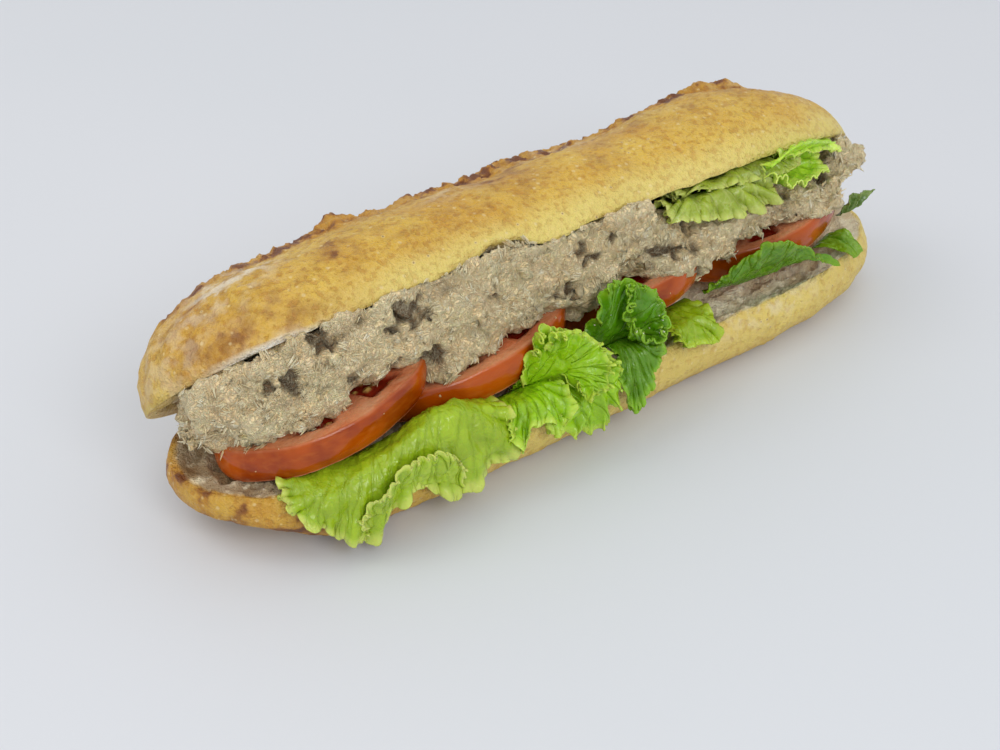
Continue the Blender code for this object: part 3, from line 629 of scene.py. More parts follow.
def make_crown(finish):
    """The upper half: crust with a torn baked lip, a ragged edge, and pores on its cut face."""
    block, faces = cells_shell(CROWN_CELLS)
    s, t, r = block.T
    x, y = plan(s, t, CROWN_LENGTH, CROWN_MIDDLE_X)
    rim_share = np.maximum(np.abs(s), np.abs(t))
    up = (r + 1) / 2
    narrower = np.cos(math.acos(1 - CROWN_INSET) * up)
    x = CROWN_MIDDLE_X + (x - CROWN_MIDDLE_X) * narrower
    y = y * narrower
    relief, on_lip, in_slash, browning = slash_relief(x, y)
    place, line = flat3(x, y), flat3(x)
    top = dome(x, y) + (relief + uneven("crown swell", place) + uneven("crown waves", place)) * up
    under = pressed(rim_share) + pore_depth(place, 1 - smooth(0.93, 1.0, rim_share))
    cut = r < -0.999
    height = np.where(cut, under, top)

    # The ragged front edge
    front = smooth(-20, -34, y) * (1 - smooth(0, 7, height))
    nicked = TEAR_HEIGHT * bump(x, TEAR_X, TEAR_WIDTH) - FLAP_DROP * bump(x, FLAP_X, FLAP_WIDTH)
    nicked = nicked + uneven("crown edge", line)
    shut = flat3(x, y + END_SWAY * near_end(x), height + nicked * front)
    points = opened(shut)
    facing = normals_of(points, faces)

    # The crust's own relief: grain, blisters, scores on the near end, and the torn white crumb on the edge
    torn_edge = bump(x, NEAR_CRUMB_X, 12) * smooth(-10, -22, y)
    torn_edge = torn_edge * (1 - smooth(0.6, 2.0, height + uneven("torn edge", shut)))
    scored = 0.5 * np.sin(y / 1.3 + uneven("end scores", shut)) * smooth(-98, -112, x) * smooth(4, 9, height)
    fine = uneven("crust grain", shut) + browning * uneven("browned grain", shut)
    away, own = nearest_dot(shut, 4.5, 61)
    blisters = 0.3 * smooth(0.28, 0.05, away) * (own > 0.2)
    crackle = torn_edge * (0.52 + uneven("torn crumb", shut))
    lift = np.where(cut, 0.0, fine + blisters * (1 - on_lip) + crackle + scored)
    points = points + facing * lift[:, None]

    # Masks of the cut crumb, the toasting, the paler side and the flour
    near_lip = bump(x, NEAR_CRUMB_X, NEAR_CRUMB_WIDTH)
    on_cut = np.maximum(smooth(0.975, 0.91, rim_share), near_lip)
    on_edge = 1 - smooth(0.1, 0.45, height + uneven("crumb line", line))
    crumb = np.where(cut, on_cut, np.clip(on_edge, 0, 1) * near_lip)
    tip = smooth(-104, -121, x)
    near = smooth(-58, -104, x) * smooth(-1, 3, height) * (0.75 + uneven("near toast", place))
    middle = smooth(5, 17, height) * (0.5 + uneven("middle toast", place))
    far_end = smooth(84, 108, x) * smooth(9, 18, height + uneven("far toast", place))
    on_tear = 1.15 * browning * (0.88 + uneven("lip toast", shut))
    toast = np.max([on_tear, 0.85 * near * (1 - 0.5 * tip), 0.6 * middle, 0.7 * far_end], axis=0)
    pale = (1 - smooth(2, 14, height + uneven("pale side", place))) * smooth(-100, -55, x)
    flour = 0.7 * in_slash + 0.3 * tip + 0.45 * far_end
    for patch_x, long, patch_y, wide, strength in FLOUR_PATCHES:
        flour = flour + strength * bump(x, patch_x, long) * bump(y, patch_y, wide)
    masks = {
        "crumb": crumb,
        "toast": np.clip(toast, 0, 1),
        "pale": np.maximum(pale, 0.35 * tip),
        "flour": np.clip(flour, 0, 1),
        "lump": torn_edge,
    }
    piece("crown", points, faces.tolist(), finish, ["loaf"], masks)


def make_base(finish):
    """The lower half: flat underside, thin crust side, and a pressed, open-pored cut face."""
    block, faces = cells_shell(BASE_CELLS, {1: lambda line: np.sign(line) * np.abs(line) ** 0.85})
    s, t, r = block.T
    x, y = plan(s, t, LOAF_LENGTH, LOAF_MIDDLE_X)
    turn = mix(-math.pi / 2, SIDE_RISE, (r + 1) / 2)
    inset = SIDE_RADIUS * (1 - np.cos(turn))
    x = LOAF_MIDDLE_X + (x - LOAF_MIDDLE_X) * (1 - 2 * inset / LOAF_LENGTH)
    x = x + END_TUCK * near_end(x) * (1 - r) / 2
    y = y * (1 - 2 * inset / LOAF_WIDTH) + END_SWAY * near_end(x)
    middle_height = BASE_HEIGHT - SIDE_RADIUS * math.sin(SIDE_RISE)
    lowered = middle_height - END_LIFT * near_end(x)
    z = middle_height + np.where(turn > 0, SIDE_RADIUS, lowered) * np.sin(turn)
    rim_share = np.maximum(np.abs(s), np.abs(t))
    place = flat3(x, y)
    cut = r > 0.999
    near = smooth(-70, -95, x)
    inside = 1 - smooth(0.93, 0.995, rim_share)
    depth = pressed(rim_share) + pore_depth(place, inside)
    depth = depth + (0.6 + 0.8 * near) * uneven("base crumb", place) * inside
    z = z - np.where(cut, depth, 0.0) + uneven("base rim", place) * smooth(0.2, 1.0, r)
    points = flat3(x, y, z)
    facing = normals_of(points, faces)

    # Crumb shows inside a thin rim of crust, and torn down the side at the near end
    from_rim = np.minimum((1 - np.abs(s)) * LOAF_LENGTH, (1 - np.abs(t)) * LOAF_WIDTH) / 2
    from_rim = from_rim + uneven("base crust edge", place)
    on_face = smooth(0.4 + 0.9 * near, 1.6 + 0.9 * near, from_rim)
    on_side = 0.25 * smooth(0.90, 0.99, r + uneven("base crumb edge", place))
    crumb = np.where(cut, on_face, on_side)
    pits = pore_depth(points, crumb * near * (1 - cut)) * 0.8
    pits = pits - uneven("base torn side", points) * crumb * near
    side = smooth(-0.98, -0.7, r) * (1 - cut)
    fine = uneven("base grain", points) + uneven("base waves", points)
    points = points + facing * (fine * side - pits)[:, None]
    points[:, 2] = np.maximum(points[:, 2], 0.0)

    toast = 0.95 * smooth(-45, -95, x) * (0.8 + uneven("base toast", points)) + 0.2 * smooth(0.1, -0.6, r)
    patch = bump(x, 62, 26) * smooth(0.2, 0.9, r) * (y < 0)
    masks = {
        "crumb": crumb,
        "toast": np.clip(toast, 0, 1),
        "pale": 0.75 * smooth(-75, -20, x) * smooth(-0.9, 0.3, r),
        "flour": np.clip(0.8 * smooth(-0.45, -0.9, r) + 0.5 * patch, 0, 1),
        "lump": 0 * x,
    }
    piece("base", points, faces.tolist(), finish, ["loaf"], masks)


# Tomato


def make_slice(name, finish):
    """One slice: glossy skin round its edge, wet flesh on its faces, and sunk chambers with seeds."""
    slice_x, slice_y, under, half_x, half_y = SLICES[name]
    thickness = SLICE_THICKNESS + SLICE_FULLER_BELOW + SLICE_FULLER_ABOVE
    side = np.linspace(1, -1, SIDE_RINGS)
    top, bottom = np.linspace(0.04, 0.955, TOP_RINGS), np.linspace(0.955, 0.04, BOTTOM_RINGS)
    reach = np.concatenate([top, 1 - 0.045 * np.abs(side) ** 3, bottom])
    level = np.concatenate([np.ones(TOP_RINGS), side, -np.ones(BOTTOM_RINGS)])
    turn = np.linspace(0, 2 * math.pi, SLICE_TURNS, endpoint=False)
    turn, reach = np.meshgrid(turn, reach, indexing="ij")
    lobed = 1 + 0.012 * np.cos(5 * turn + slice_x * 0.04) + 0.006 * np.cos(9 * turn + 1)
    x = slice_x + (half_x + SLICE_FULLER_ROUND) * np.cos(turn) * reach * lobed
    y = slice_y + (half_y + SLICE_FULLER_ROUND) * np.sin(turn) * reach * lobed
    spokes = np.cos(CHAMBERS * turn + 1.3 + 0.5 * np.sin(2 * turn))
    chamber = smooth(0.26, 0.36, reach) * smooth(0.80, 0.70, reach) * smooth(-0.25, 0.2, spokes)
    away, own = (part.reshape(x.shape) for part in nearest_dot(flat3(x, y), SEED_SPACING, 90))
    seeds = smooth(0.42, 0.25, away) * (own > -0.2) * chamber
    relief = uneven("slice face", flat3(x, y)).reshape(x.shape)
    relief = relief - CHAMBER_DEPTH * chamber + SEED_HEIGHT * seeds
    relief = np.where(np.abs(level) > 0.999, relief, 0.0) * np.sign(level)
    height = under - SLICE_FULLER_BELOW + SLICE_RISE_X * (x - slice_x) + SLICE_RISE_Y * (y - slice_y)
    height = height + (level + 1) / 2 * thickness + relief
    sheet = np.stack([x, y, height], axis=-1)
    points = sheet.reshape(-1, 3)
    count, rings = len(points), sheet.shape[1]
    number = np.arange(count).reshape(SLICE_TURNS, rings)
    faces = sheet_faces(np.concatenate([number, number[:1]]))[:, ::-1]
    facing = normals_of(points, faces)
    caps = []
    for here in range(SLICE_TURNS):
        ahead = (here + 1) % SLICE_TURNS
        caps.append((ahead * rings, here * rings, count))
        caps.append((here * rings + rings - 1, ahead * rings + rings - 1, count + 1))
    middles = [sheet[:, 0].mean(0), sheet[:, -1].mean(0)]
    shares = {
        "skin": (smooth(0.93, 0.975, reach), 0),
        "gel": (chamber, 0),
        "seed": (seeds, 0),
        "inner": (smooth(0.86, 0.5, reach), 1),
    }
    masks = {mask: np.append(share, [middle, middle]) for mask, (share, middle) in shares.items()}
    piece(name, np.concatenate([points, middles]), faces.tolist() + caps, finish, [name], masks)
    return points, facing


# Tuna


def tube_mesh(lines, radii, sides):
    """Tapered strands: lines holds each strand's points, and radii its thickness at each of them."""
    count, rings, _ = lines.shape
    ahead = unit(np.gradient(lines, axis=1))
    helper = np.where(np.abs(ahead[..., 2:3]) < 0.8, [[[0.0, 0.0, 1.0]]], [[[1.0, 0.0, 0.0]]])
    across = unit(np.cross(ahead, helper))
    other = np.cross(ahead, across)
    turn = np.linspace(0, 2 * math.pi, sides, endpoint=False)
    ring = across[:, :, None] * np.cos(turn)[:, None] + other[:, :, None] * np.sin(turn)[:, None]
    points = (lines[:, :, None] + ring * radii[:, :, None, None]).reshape(-1, 3)
    number = np.arange(count * rings * sides).reshape(count, rings, sides)
    after = np.roll(number, -1, axis=2)
    corners = (number[:, :-1], after[:, :-1], after[:, 1:], number[:, 1:])
    walls = np.stack(corners, axis=-1).reshape(-1, 4)
    ends = np.concatenate([number[:, 0, ::-1], number[:, -1]])
    return points, walls.tolist() + ends.tolist()


def remeshed(node, cell):
    """The points and faces of a solid rebuilt with even, fine cells of that size."""
    copy = placed(f"{node}_even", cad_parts[node].data.copy())
    even = copy.modifiers.new("even", "REMESH")
    even.mode = "VOXEL"
    even.voxel_size = cell * MM
    copy.modifiers.new("soften", "SMOOTH").iterations = 2
    graph = bpy.context.evaluated_depsgraph_get()
    data = copy.evaluated_get(graph).to_mesh()
    points = np.empty(len(data.vertices) * 3)
    data.vertices.foreach_get("co", points)
    corners = [list(face.vertices) for face in data.polygons]
    faces = np.array([face if len(face) == 4 else [*face, face[2]] for face in corners])
    copy.evaluated_get(graph).to_mesh_clear()
    bpy.data.objects.remove(copy)
    return points.reshape(-1, 3) / MM, faces


def make_mash(finish):
    """The body of the tuna: mashed lumps with gaps between them, from the slices to the crown's edge."""
    points, faces = remeshed("tuna", MASH_CELL)
    facing = normals_of(points, faces)
    x, y, z = points.T.copy()
    ends = smooth(103, 112, x) + smooth(-107, -114, x)
    front = smooth(3, -6, y)
    shown = np.clip(front + ends, 0, 1)
    roof = BASE_HEIGHT + (HINGE_Y - y) * math.tan(MOUTH_ANGLE)
    rise = TUNA_RISE * (1 + bump(x, TEAR_X, 14))
    points[:, 2] += rise * smooth(8, 1.5, roof - z) * front
    foot = TUNA_FOOT + SLICE_RISE_Y * y + 4.5 * smooth(2, 10, x)
    pull = np.interp(x + uneven("tuna edge", points), *zip(*TUNA_PULL))
    points[:, 1] += pull * np.clip(1 - (z - foot) / TUNA_PULL_HEIGHT, 0, 1) * front

    warped = points + 1.8 * lumps3(points, 6, 100)
    stretch, spacing, seed, high = LARGE_LUMPS
    away, own = nearest_dot(warped * stretch, spacing, seed)
    stretch, spacing, seed, low = SMALL_LUMPS
    small, _ = nearest_dot(warped * stretch, spacing, seed)
    relief = uneven("tuna heaps", points) + uneven("tuna grain", points)
    relief = relief + high * (0.5 - away) + 0.6 * own + low * (0.45 - small)
    deep = GAP_DEPTH * smooth(0.35, 0.85, uneven("tuna gaps", points)) * smooth(-3, -10, y)
    ragged_x = x + uneven("hollow sides", points)
    ragged_z = z + uneven("hollow tops", points)
    for hollow_x, hollow_z, size in TUNA_HOLLOWS:
        reach = np.hypot((ragged_x - hollow_x) * 1.1, (ragged_z - hollow_z) * 2.1) / size
        deep = deep + size * bump(reach, 0, 1) * front
    points = points + facing * ((relief - deep) * shown)[:, None]
    # A mask of painted shade: dark in the crevices and gaps between the lumps
    crevice_shade = np.clip(away * 1.1 + small * 0.5 - 0.62 + deep / GAP_DEPTH, 0, 1)
    piece("tuna_mash", points, faces.tolist(), finish, ["tuna"], {"crevice_shade": crevice_shade, "clump": own})
    return points, normals_of(points, faces), shown * (1 - smooth(0.35, 0.8, crevice_shade))


def make_shreds(points, facing, shown, finish):
    """Bundles of fish fibre that lie flat on the mash, side by side and mostly along one way in each lump."""
    draw = np.random.default_rng(STRAND_SEED)
    forward, upward = np.clip(-facing[:, 1], 0, 1), np.clip(facing[:, 2], 0, 1)
    chance = shown * (facing[:, 1] < 0.4) * (0.3 + forward + 0.5 * upward)
    root = draw.choice(len(points), BUNDLES, p=chance / chance.sum())
    start, normal = points[root], facing[root]
    flow = lumps3(start, 9, 130) + 0.35 * draw.normal(size=(BUNDLES, 3))
    along = unit(flow - normal * (flow * normal).sum(1, keepdims=True))
    across = np.cross(normal, along)
    length = draw.uniform(1.6, 3.6, BUNDLES)
    width = draw.uniform(0.16, 0.34, BUNDLES)
    lift = draw.uniform(-0.25, 0.25, BUNDLES)
    loose = draw.random(BUNDLES) < 0.015
    rise = np.where(loose, draw.uniform(0.3, 0.9, BUNDLES), draw.uniform(-0.2, 0.12, BUNDLES))
    each = (BUNDLES, STRANDS)
    t = np.linspace(0, 1, STRAND_RINGS)
    spread = (np.arange(STRANDS) - (STRANDS - 1) / 2)[None, :] + draw.uniform(-0.3, 0.3, each)
    own = length[:, None] * draw.uniform(0.6, 1.1, each)
    begin = draw.uniform(-0.25, 0.1, each) * length[:, None]
    travel = begin[..., None] + own[..., None] * (t - 0.4)
    curve = draw.uniform(-0.25, 0.25, each)[..., None] * own[..., None] * (t - 0.4) ** 2
    sideways = spread[..., None] * width[:, None, None] * 1.35 * (0.85 + 0.35 * t) + curve
    arch = lift[:, None, None] + rise[:, None, None] * own[..., None] * (t - 0.1) ** 2
    lines = start[:, None, None] + along[:, None, None] * travel[..., None]
    lines = lines + across[:, None, None] * sideways[..., None] + normal[:, None, None] * arch[..., None]
    lines = lines.reshape(-1, STRAND_RINGS, 3)
    lines = lines + 0.25 * lumps3(lines.reshape(-1, 3), 1.6, 120).reshape(lines.shape)
    thick = np.repeat(width, STRANDS)[:, None] * 0.8 * (1 - 0.8 * np.abs(2 * t - 0.9) ** 2.2)
    mesh_points, faces = tube_mesh(lines, np.maximum(thick, 0.02), 3)
    shared = np.repeat(draw.uniform(0, 1, BUNDLES), STRANDS)
    tint = np.repeat(draw.uniform(0, 1, BUNDLES * STRANDS) * 0.5 + shared * 0.5, STRAND_RINGS * 3)
    piece("tuna_shreds", mesh_points, faces, finish, masks={"tint": tint})


def make_wisps(points, facing, shown, finish):
    """Ragged fibres that stand off the mash, most of them at its lower edge and its ends."""
    draw = np.random.default_rng(WISP_SEED)
    x, _, z = points.T
    low = smooth(42, 30, z) + smooth(98, 112, x) * 0.8 + smooth(-104, -112, x)
    chance = shown * (facing[:, 1] < 0.2) * (0.15 + low)
    root = draw.choice(len(points), WISPS, p=chance / chance.sum())
    heading = facing[root] * 0.12 + draw.normal(size=(WISPS, 3)) * [0.7, 0.3, 0.45] + [0, -0.05, -0.5]
    bend = draw.normal(size=(WISPS, 3)) * 0.7
    length = draw.uniform(0.8, 2.0, WISPS)
    t = np.linspace(0, 1, STRAND_RINGS)
    lines = points[root][:, None] + unit(heading)[:, None] * (length[:, None] * t)[..., None]
    lines = lines + bend[:, None] * (length[:, None] * t * t)[..., None]
    thick = draw.uniform(0.25, 0.5, WISPS)[:, None] * (1 - 0.8 * t**2)
    mesh_points, faces = tube_mesh(lines, thick, 4)
    tint = np.repeat(draw.uniform(0.2, 1, WISPS), STRAND_RINGS * 4)
    piece("tuna_wisps", mesh_points, faces, finish, masks={"tint": tint})


def make_bits(name, places, facing, count, sizes, finish, seed):
    """Small soft crumbs scattered over the given places and half sunk in them."""
    draw = np.random.default_rng(seed)
    rows, columns = 7, 10
    tilt = np.linspace(0, math.pi, rows)[:, None]
    turn = np.linspace(0, 2 * math.pi, columns, endpoint=False)[None, :]
    ball = flat3(np.sin(tilt) * np.cos(turn), np.sin(tilt) * np.sin(turn), np.cos(tilt))
    number = np.arange(rows * columns).reshape(rows, columns)
    quads = sheet_faces(np.concatenate([number, number[:, :1]], axis=1))
    points, faces = [], []
    for step, root in enumerate(draw.choice(len(places), count)):
        size = draw.uniform(*sizes)
        stretch = np.array([1, draw.uniform(0.4, 0.8), draw.uniform(0.4, 0.9)])
        turned = np.array(Euler(draw.uniform(0, 6, 3)).to_matrix())
        lump = ball * stretch * (1 + 0.45 * lumps(ball + 9.0 * step, 0.9, seed)[:, None]) * size
        points.append(lump @ turned + places[root] + facing[root] * 0.15 * size)
        faces.append(quads + step * len(ball))
    piece(name, np.concatenate(points), np.concatenate(faces).tolist(), finish)


# Lettuce


def rim_place(rim, x):
    """The y and the height of the front rim of the base or crown at x."""
    if rim == "base":
        inset = SIDE_RADIUS * (1 - math.cos(SIDE_RISE))
        return inset - half_width(x, LOAF_LENGTH, LOAF_MIDDLE_X) + END_SWAY * near_end(x), BASE_HEIGHT
    edge = opened(flat3(x, -half_width(x, CROWN_LENGTH, CROWN_MIDDLE_X)))
    return edge[:, 1].reshape(x.shape), edge[:, 2].reshape(x.shape)


def on_line(points, share):
    """Points at shares of the way along a smooth line through evenly spaced rows of points."""
    place = share * (len(points) - 1)
    number = np.minimum(len(points) - 2, place.astype(int))
    rest = (place - number)[:, None, None]
    padded = np.concatenate([points[:1] * 2 - points[1:2], points, points[-1:] * 2 - points[-2:-1]])
    behind, here, ahead, beyond = (padded[number + step] for step in range(4))
    turning = behind * 2 - here * 5 + ahead * 4 - beyond
    swing = here * 3 - behind - ahead * 3 + beyond
    return (here * 2 + (ahead - behind) * rest + turning * rest**2 + swing * rest**3) / 2


def leaf_sheet(leaf, u, v):
    """The smooth leaf as rows from left to right of points from root to margin."""
    rest = 1 - v
    weights = np.stack([rest**3, 3 * rest**2 * v, 3 * rest * v**2, v**3], axis=1)
    x, out, up = np.moveaxis(weights @ np.array(leaf["paths"], float), -1, 0)
    rim_y, rim_z = rim_place(leaf["rim"], x)
    return on_line(np.stack([x, rim_y - out, rim_z + up], axis=-1), u)


def edge_places(u, v, width, depth):
    """For each point of a leaf: its place along the free edge, how far away that is, and each side's share."""
    left, right, outer = u * width, (1 - u) * width, (1 - v) * depth
    near = 0.8
    pull = [1 / (away + near) ** 2 for away in (left, outer, right)]
    total = sum(pull)
    shares = [part / total for part in pull]
    place = shares[0] * -outer + shares[1] * left + shares[2] * (width + outer)
    return place, np.maximum(total**-0.5 - near * 0.8, 0), shares


def vein_mask(u, v, length, count, seed):
    """1 along veins that fan out from the root and fork on their way to the margin."""
    draw = np.random.default_rng(seed)
    strongest = np.zeros(np.broadcast(u, v).shape)
    for number in range(count):
        root = (number + 0.5 + draw.uniform(-0.3, 0.3)) / count
        lean = draw.uniform(-0.35, 0.35) / count
        fork = draw.uniform(0.3, 0.65)
        spread = draw.uniform(0.35, 0.6) / count
        phase = draw.uniform(0, 6)
        line = root + lean * v + 0.10 / count * np.sin(9 * v + phase)
        opening = spread * np.maximum(0, v - fork) * 2
        for side in (-1, 1):
            away = np.abs(u - line - side * opening) * length
            strongest = np.maximum(strongest, bump(away, 0, mix(0.5, 0.24, v)))
    return strongest


def ruffles(leaf, place, away, seed):
    """Waves that grow finer and deeper towards the leaf's free edge: out of the leaf, and along its edge."""
    line = flat3(place, seed, 0.35 * away)
    out = np.zeros(place.shape)
    sideways = np.zeros(place.shape)
    # Three sizes of wave: pitch, depth, how far they reach in from the edge, and how sharply they grow
    waves = (
        (leaf["pitch"], leaf["ruffle"], 11, 1.2),
        (leaf["pitch"] * 0.45, leaf["crimp"], 5.0, 1.3),
        (leaf["pitch"] * 0.19, leaf["crimp"] * 0.42, 2.2, 1.2),
    )
    for step, (pitch, depth, reach, sharper) in enumerate(waves):
        drift = 2.6 * lumps(line, 1.3 * pitch, seed + step).reshape(place.shape)
        phase = 2 * math.pi * place / pitch + seed * step + drift + 0.25 * away / reach
        strength = 0.65 + 0.7 * lumps(line, 1.9 * pitch, seed + 5 + step).reshape(place.shape)
        grown = depth * np.clip(strength, 0.1, 1.3) * smooth(reach, 0, away) ** sharper
        out += grown * np.sin(phase)
        sideways += grown * np.cos(phase) * (0.5 + 0.15 * step)
    return out, sideways


def make_leaf(name, finish, seed):
    """A thin leaf with forked veins, puckered between them, and a lobed, ruffled, crimped free edge."""
    leaf = LEAVES[name]
    plain = leaf_sheet(leaf, np.linspace(0, 1, 80), np.linspace(0, 1, 20))
    length = np.linalg.norm(np.diff(plain[:, -1], axis=0), axis=1).sum()
    depth = np.linalg.norm(np.diff(plain, axis=1), axis=2).sum(axis=1).mean()
    rows = int(np.clip(length / LEAF_CELL, 70, 350))
    u = np.linspace(0, 1, rows)
    v = 1 - (1 - np.linspace(0, 1, LEAF_COLUMNS)) ** 1.5
    sheet = leaf_sheet(leaf, u, v)
    along, outward = np.gradient(sheet, axis=0), np.gradient(sheet, axis=1)
    normal = unit(np.cross(along, outward))
    along, outward = unit(along), unit(outward)
    place, away, (left, outer, right) = edge_places(u[:, None], v[None, :], length, depth)
    free = smooth(0.03, 0.3, v)[None, :]
    wave, curl = ruffles(leaf, place, away, seed)
    line = flat3(place, seed)
    lobes = (np.abs(lumps(line, 7, seed + 2)) ** 0.7 - 0.45).reshape(place.shape)
    scallops = rough(line, 2.4, 3, seed + 4).reshape(place.shape)
    outline = leaf["lobe"] * smooth(6, 0, away) * lobes
    outline = outline + 0.6 * leaf["crimp"] * smooth(2.2, 0, away) * scallops
    veins = vein_mask(u[:, None], v[None, :], length, leaf["veins"], seed)
    pucker = 0.8 * rough(sheet.reshape(-1, 3), 6, 3, seed + 3).reshape(veins.shape) - 0.24 * veins
    middle, side = outer[..., None], (right - left)[..., None]
    points = sheet + normal * (wave * free + pucker * smooth(0, 0.2, v))[..., None]
    points = points + (along * middle - outward * side) * (curl * free)[..., None]
    points = points + (outward * middle + along * side) * (outline * free)[..., None]
    # The fold mask paints light: the crests of the ruffles paler
    masks = {"vein": veins, "margin": smooth(3.5, 0, away) * free, "fold": wave / np.abs(wave).max()}
    points = points.reshape(-1, 3)
    faces = sheet_faces(np.arange(len(points)).reshape(rows, LEAF_COLUMNS)).tolist()
    nodes = [name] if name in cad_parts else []
    thick = piece(name, points, faces, finish, nodes, masks).modifiers.new("thickness", "SOLIDIFY")
    thick.thickness = LEAF_THICKNESS * MM
    thick.offset = 0
    return points, normal.reshape(-1, 3)


# Finishes


def shade(red, green, blue):
    """A colour as seen on a screen, from 0 to 255, in the linear values that a shader wants."""
    channels = (value / 255 for value in (red, green, blue))
    linear = [c / 12.92 if c <= 0.04045 else ((c + 0.055) / 1.055) ** 2.4 for c in channels]
    return (*linear, 1.0)


def tone(name):
    return shade(*TONES[name])


def fill(tree, socket, value):
    """An input either linked or set."""
    if isinstance(value, bpy.types.NodeSocket):
        tree.links.new(value, socket)
    else:
        socket.default_value = value


def add(tree, kind, inputs=None, **settings):
    """A node with its settings and inputs."""
    node = tree.nodes.new(kind)
    for key, value in settings.items():
        setattr(node, key, value)
    for key, value in (inputs or {}).items():
        fill(tree, node.inputs[key], value)
    return node


def blend(tree, share, a, b):
    """Two colours mixed."""
    return add(tree, "ShaderNodeMix", {0: share, 6: a, 7: b}, data_type="RGBA", blend_type="MIX").outputs[2]


def maths(tree, how, a, b=0.0, clamp=False):
    return add(tree, "ShaderNodeMath", {0: a, 1: b}, operation=how, use_clamp=clamp).outputs[0]


def times(tree, a, b, clamp=False):
    return maths(tree, "MULTIPLY", a, b, clamp)


def plus(tree, a, b):
    return maths(tree, "ADD", a, b)


def inverse(tree, value):
    return maths(tree, "SUBTRACT", 1.0, value)


def ranged(tree, value, low, high, to_low=0.0, to_high=1.0):
    """A value mapped smoothly from one range to another."""
    places = {"Value": value, "From Min": low, "From Max": high, "To Min": to_low, "To Max": to_high}
    return add(tree, "ShaderNodeMapRange", places, interpolation_type="SMOOTHSTEP").outputs["Result"]


def layered(tree, colour, *layers):
    """A colour with others laid over it in turn, each with its mask and its strength."""
    for over, mask, strength in layers:
        colour = blend(tree, times(tree, mask, strength), colour, over)
    return colour


def masks_of(tree, *names):
    return [add(tree, "ShaderNodeAttribute", attribute_name=name).outputs["Fac"] for name in names]


def object_place(tree):
    return add(tree, "ShaderNodeTexCoord").outputs["Object"]


def new_group(name, inputs, outputs):
    """An empty node group with named inputs, their values, and outputs."""
    group = bpy.data.node_groups.new(name, "ShaderNodeTree")
    for label, value in inputs:
        group.interface.new_socket(label, in_out="INPUT", socket_type="NodeSocketFloat").default_value = value
    for label in outputs:
        group.interface.new_socket(label, in_out="OUTPUT", socket_type="NodeSocketFloat")
    start = group.nodes.new("NodeGroupInput")
    end = group.nodes.new("NodeGroupOutput")
    return group, start.outputs, end.inputs


def mottle_group():
    """Cloudy patches, with how much of the surface they cover."""
    inputs = (("Scale", 100.0), ("Detail", 4.0), ("From", 0.4), ("To", 0.6), ("Stretch", 1.0))
    group, given, result = new_group("mottled patches", inputs, ("Patches",))
    x, y, z = add(group, "ShaderNodeSeparateXYZ", {0: object_place(group)}).outputs
    long_x = maths(group, "DIVIDE", x, given["Stretch"])
    place = add(group, "ShaderNodeCombineXYZ", {0: long_x, 1: y, 2: z}).outputs[0]
    shape = {"Vector": place, "Scale": given["Scale"], "Detail": given["Detail"]}
    cloud = add(group, "ShaderNodeTexNoise", shape).outputs["Fac"]
    group.links.new(ranged(group, cloud, given["From"], given["To"]), result["Patches"])
    return group


def speck_group():
    """Small round specks scattered over the surface."""
    inputs = (("Scale", 800.0), ("Size", 0.25), ("Share", 0.4))
    group, given, result = new_group("scattered specks", inputs, ("Specks",))
    dots = add(group, "ShaderNodeTexVoronoi", {"Vector": object_place(group), "Scale": given["Scale"]})
    near = ranged(group, dots.outputs["Distance"], given["Size"], times(group, given["Size"], 0.45))
    own = add(group, "ShaderNodeSeparateColor", {0: dots.outputs["Color"]}).outputs[0]
    chosen = maths(group, "LESS_THAN", own, given["Share"])
    group.links.new(times(group, near, chosen), result["Specks"])
    return group


def grain_group():
    """Fine surface relief of soft grain and pits, as a height."""
    group, given, result = new_group("fine grain", (("Scale", 500.0), ("Pits", 0.5)), ("Height",))
    place = object_place(group)
    soft = add(group, "ShaderNodeTexNoise", {"Vector": place, "Scale": given["Scale"], "Detail": 6.0})
    cells = add(group, "ShaderNodeTexVoronoi", {"Vector": place, "Scale": times(group, given["Scale"], 1.6)})
    pits = times(group, cells.outputs["Distance"], given["Pits"])
    group.links.new(plus(group, soft.outputs["Fac"], pits), result["Height"])
    return group


def fibre_group():
    """Matted fibres that swirl over the surface: 1 on a fibre and 0 in the gaps."""
    inputs = (("Scale", 420.0), ("Swirl", 2.2), ("Width", 0.1))
    group, given, result = new_group("matted fibres", inputs, ("Fibres",))
    shape = {"Vector": object_place(group), "Scale": given["Scale"], "Detail": 5.0}
    shape["Distortion"] = given["Swirl"]
    cloud = add(group, "ShaderNodeTexNoise", shape).outputs["Fac"]
    away = maths(group, "ABSOLUTE", maths(group, "SUBTRACT", cloud, 0.5))
    group.links.new(ranged(group, away, given["Width"], 0.0), result["Fibres"])
    return group


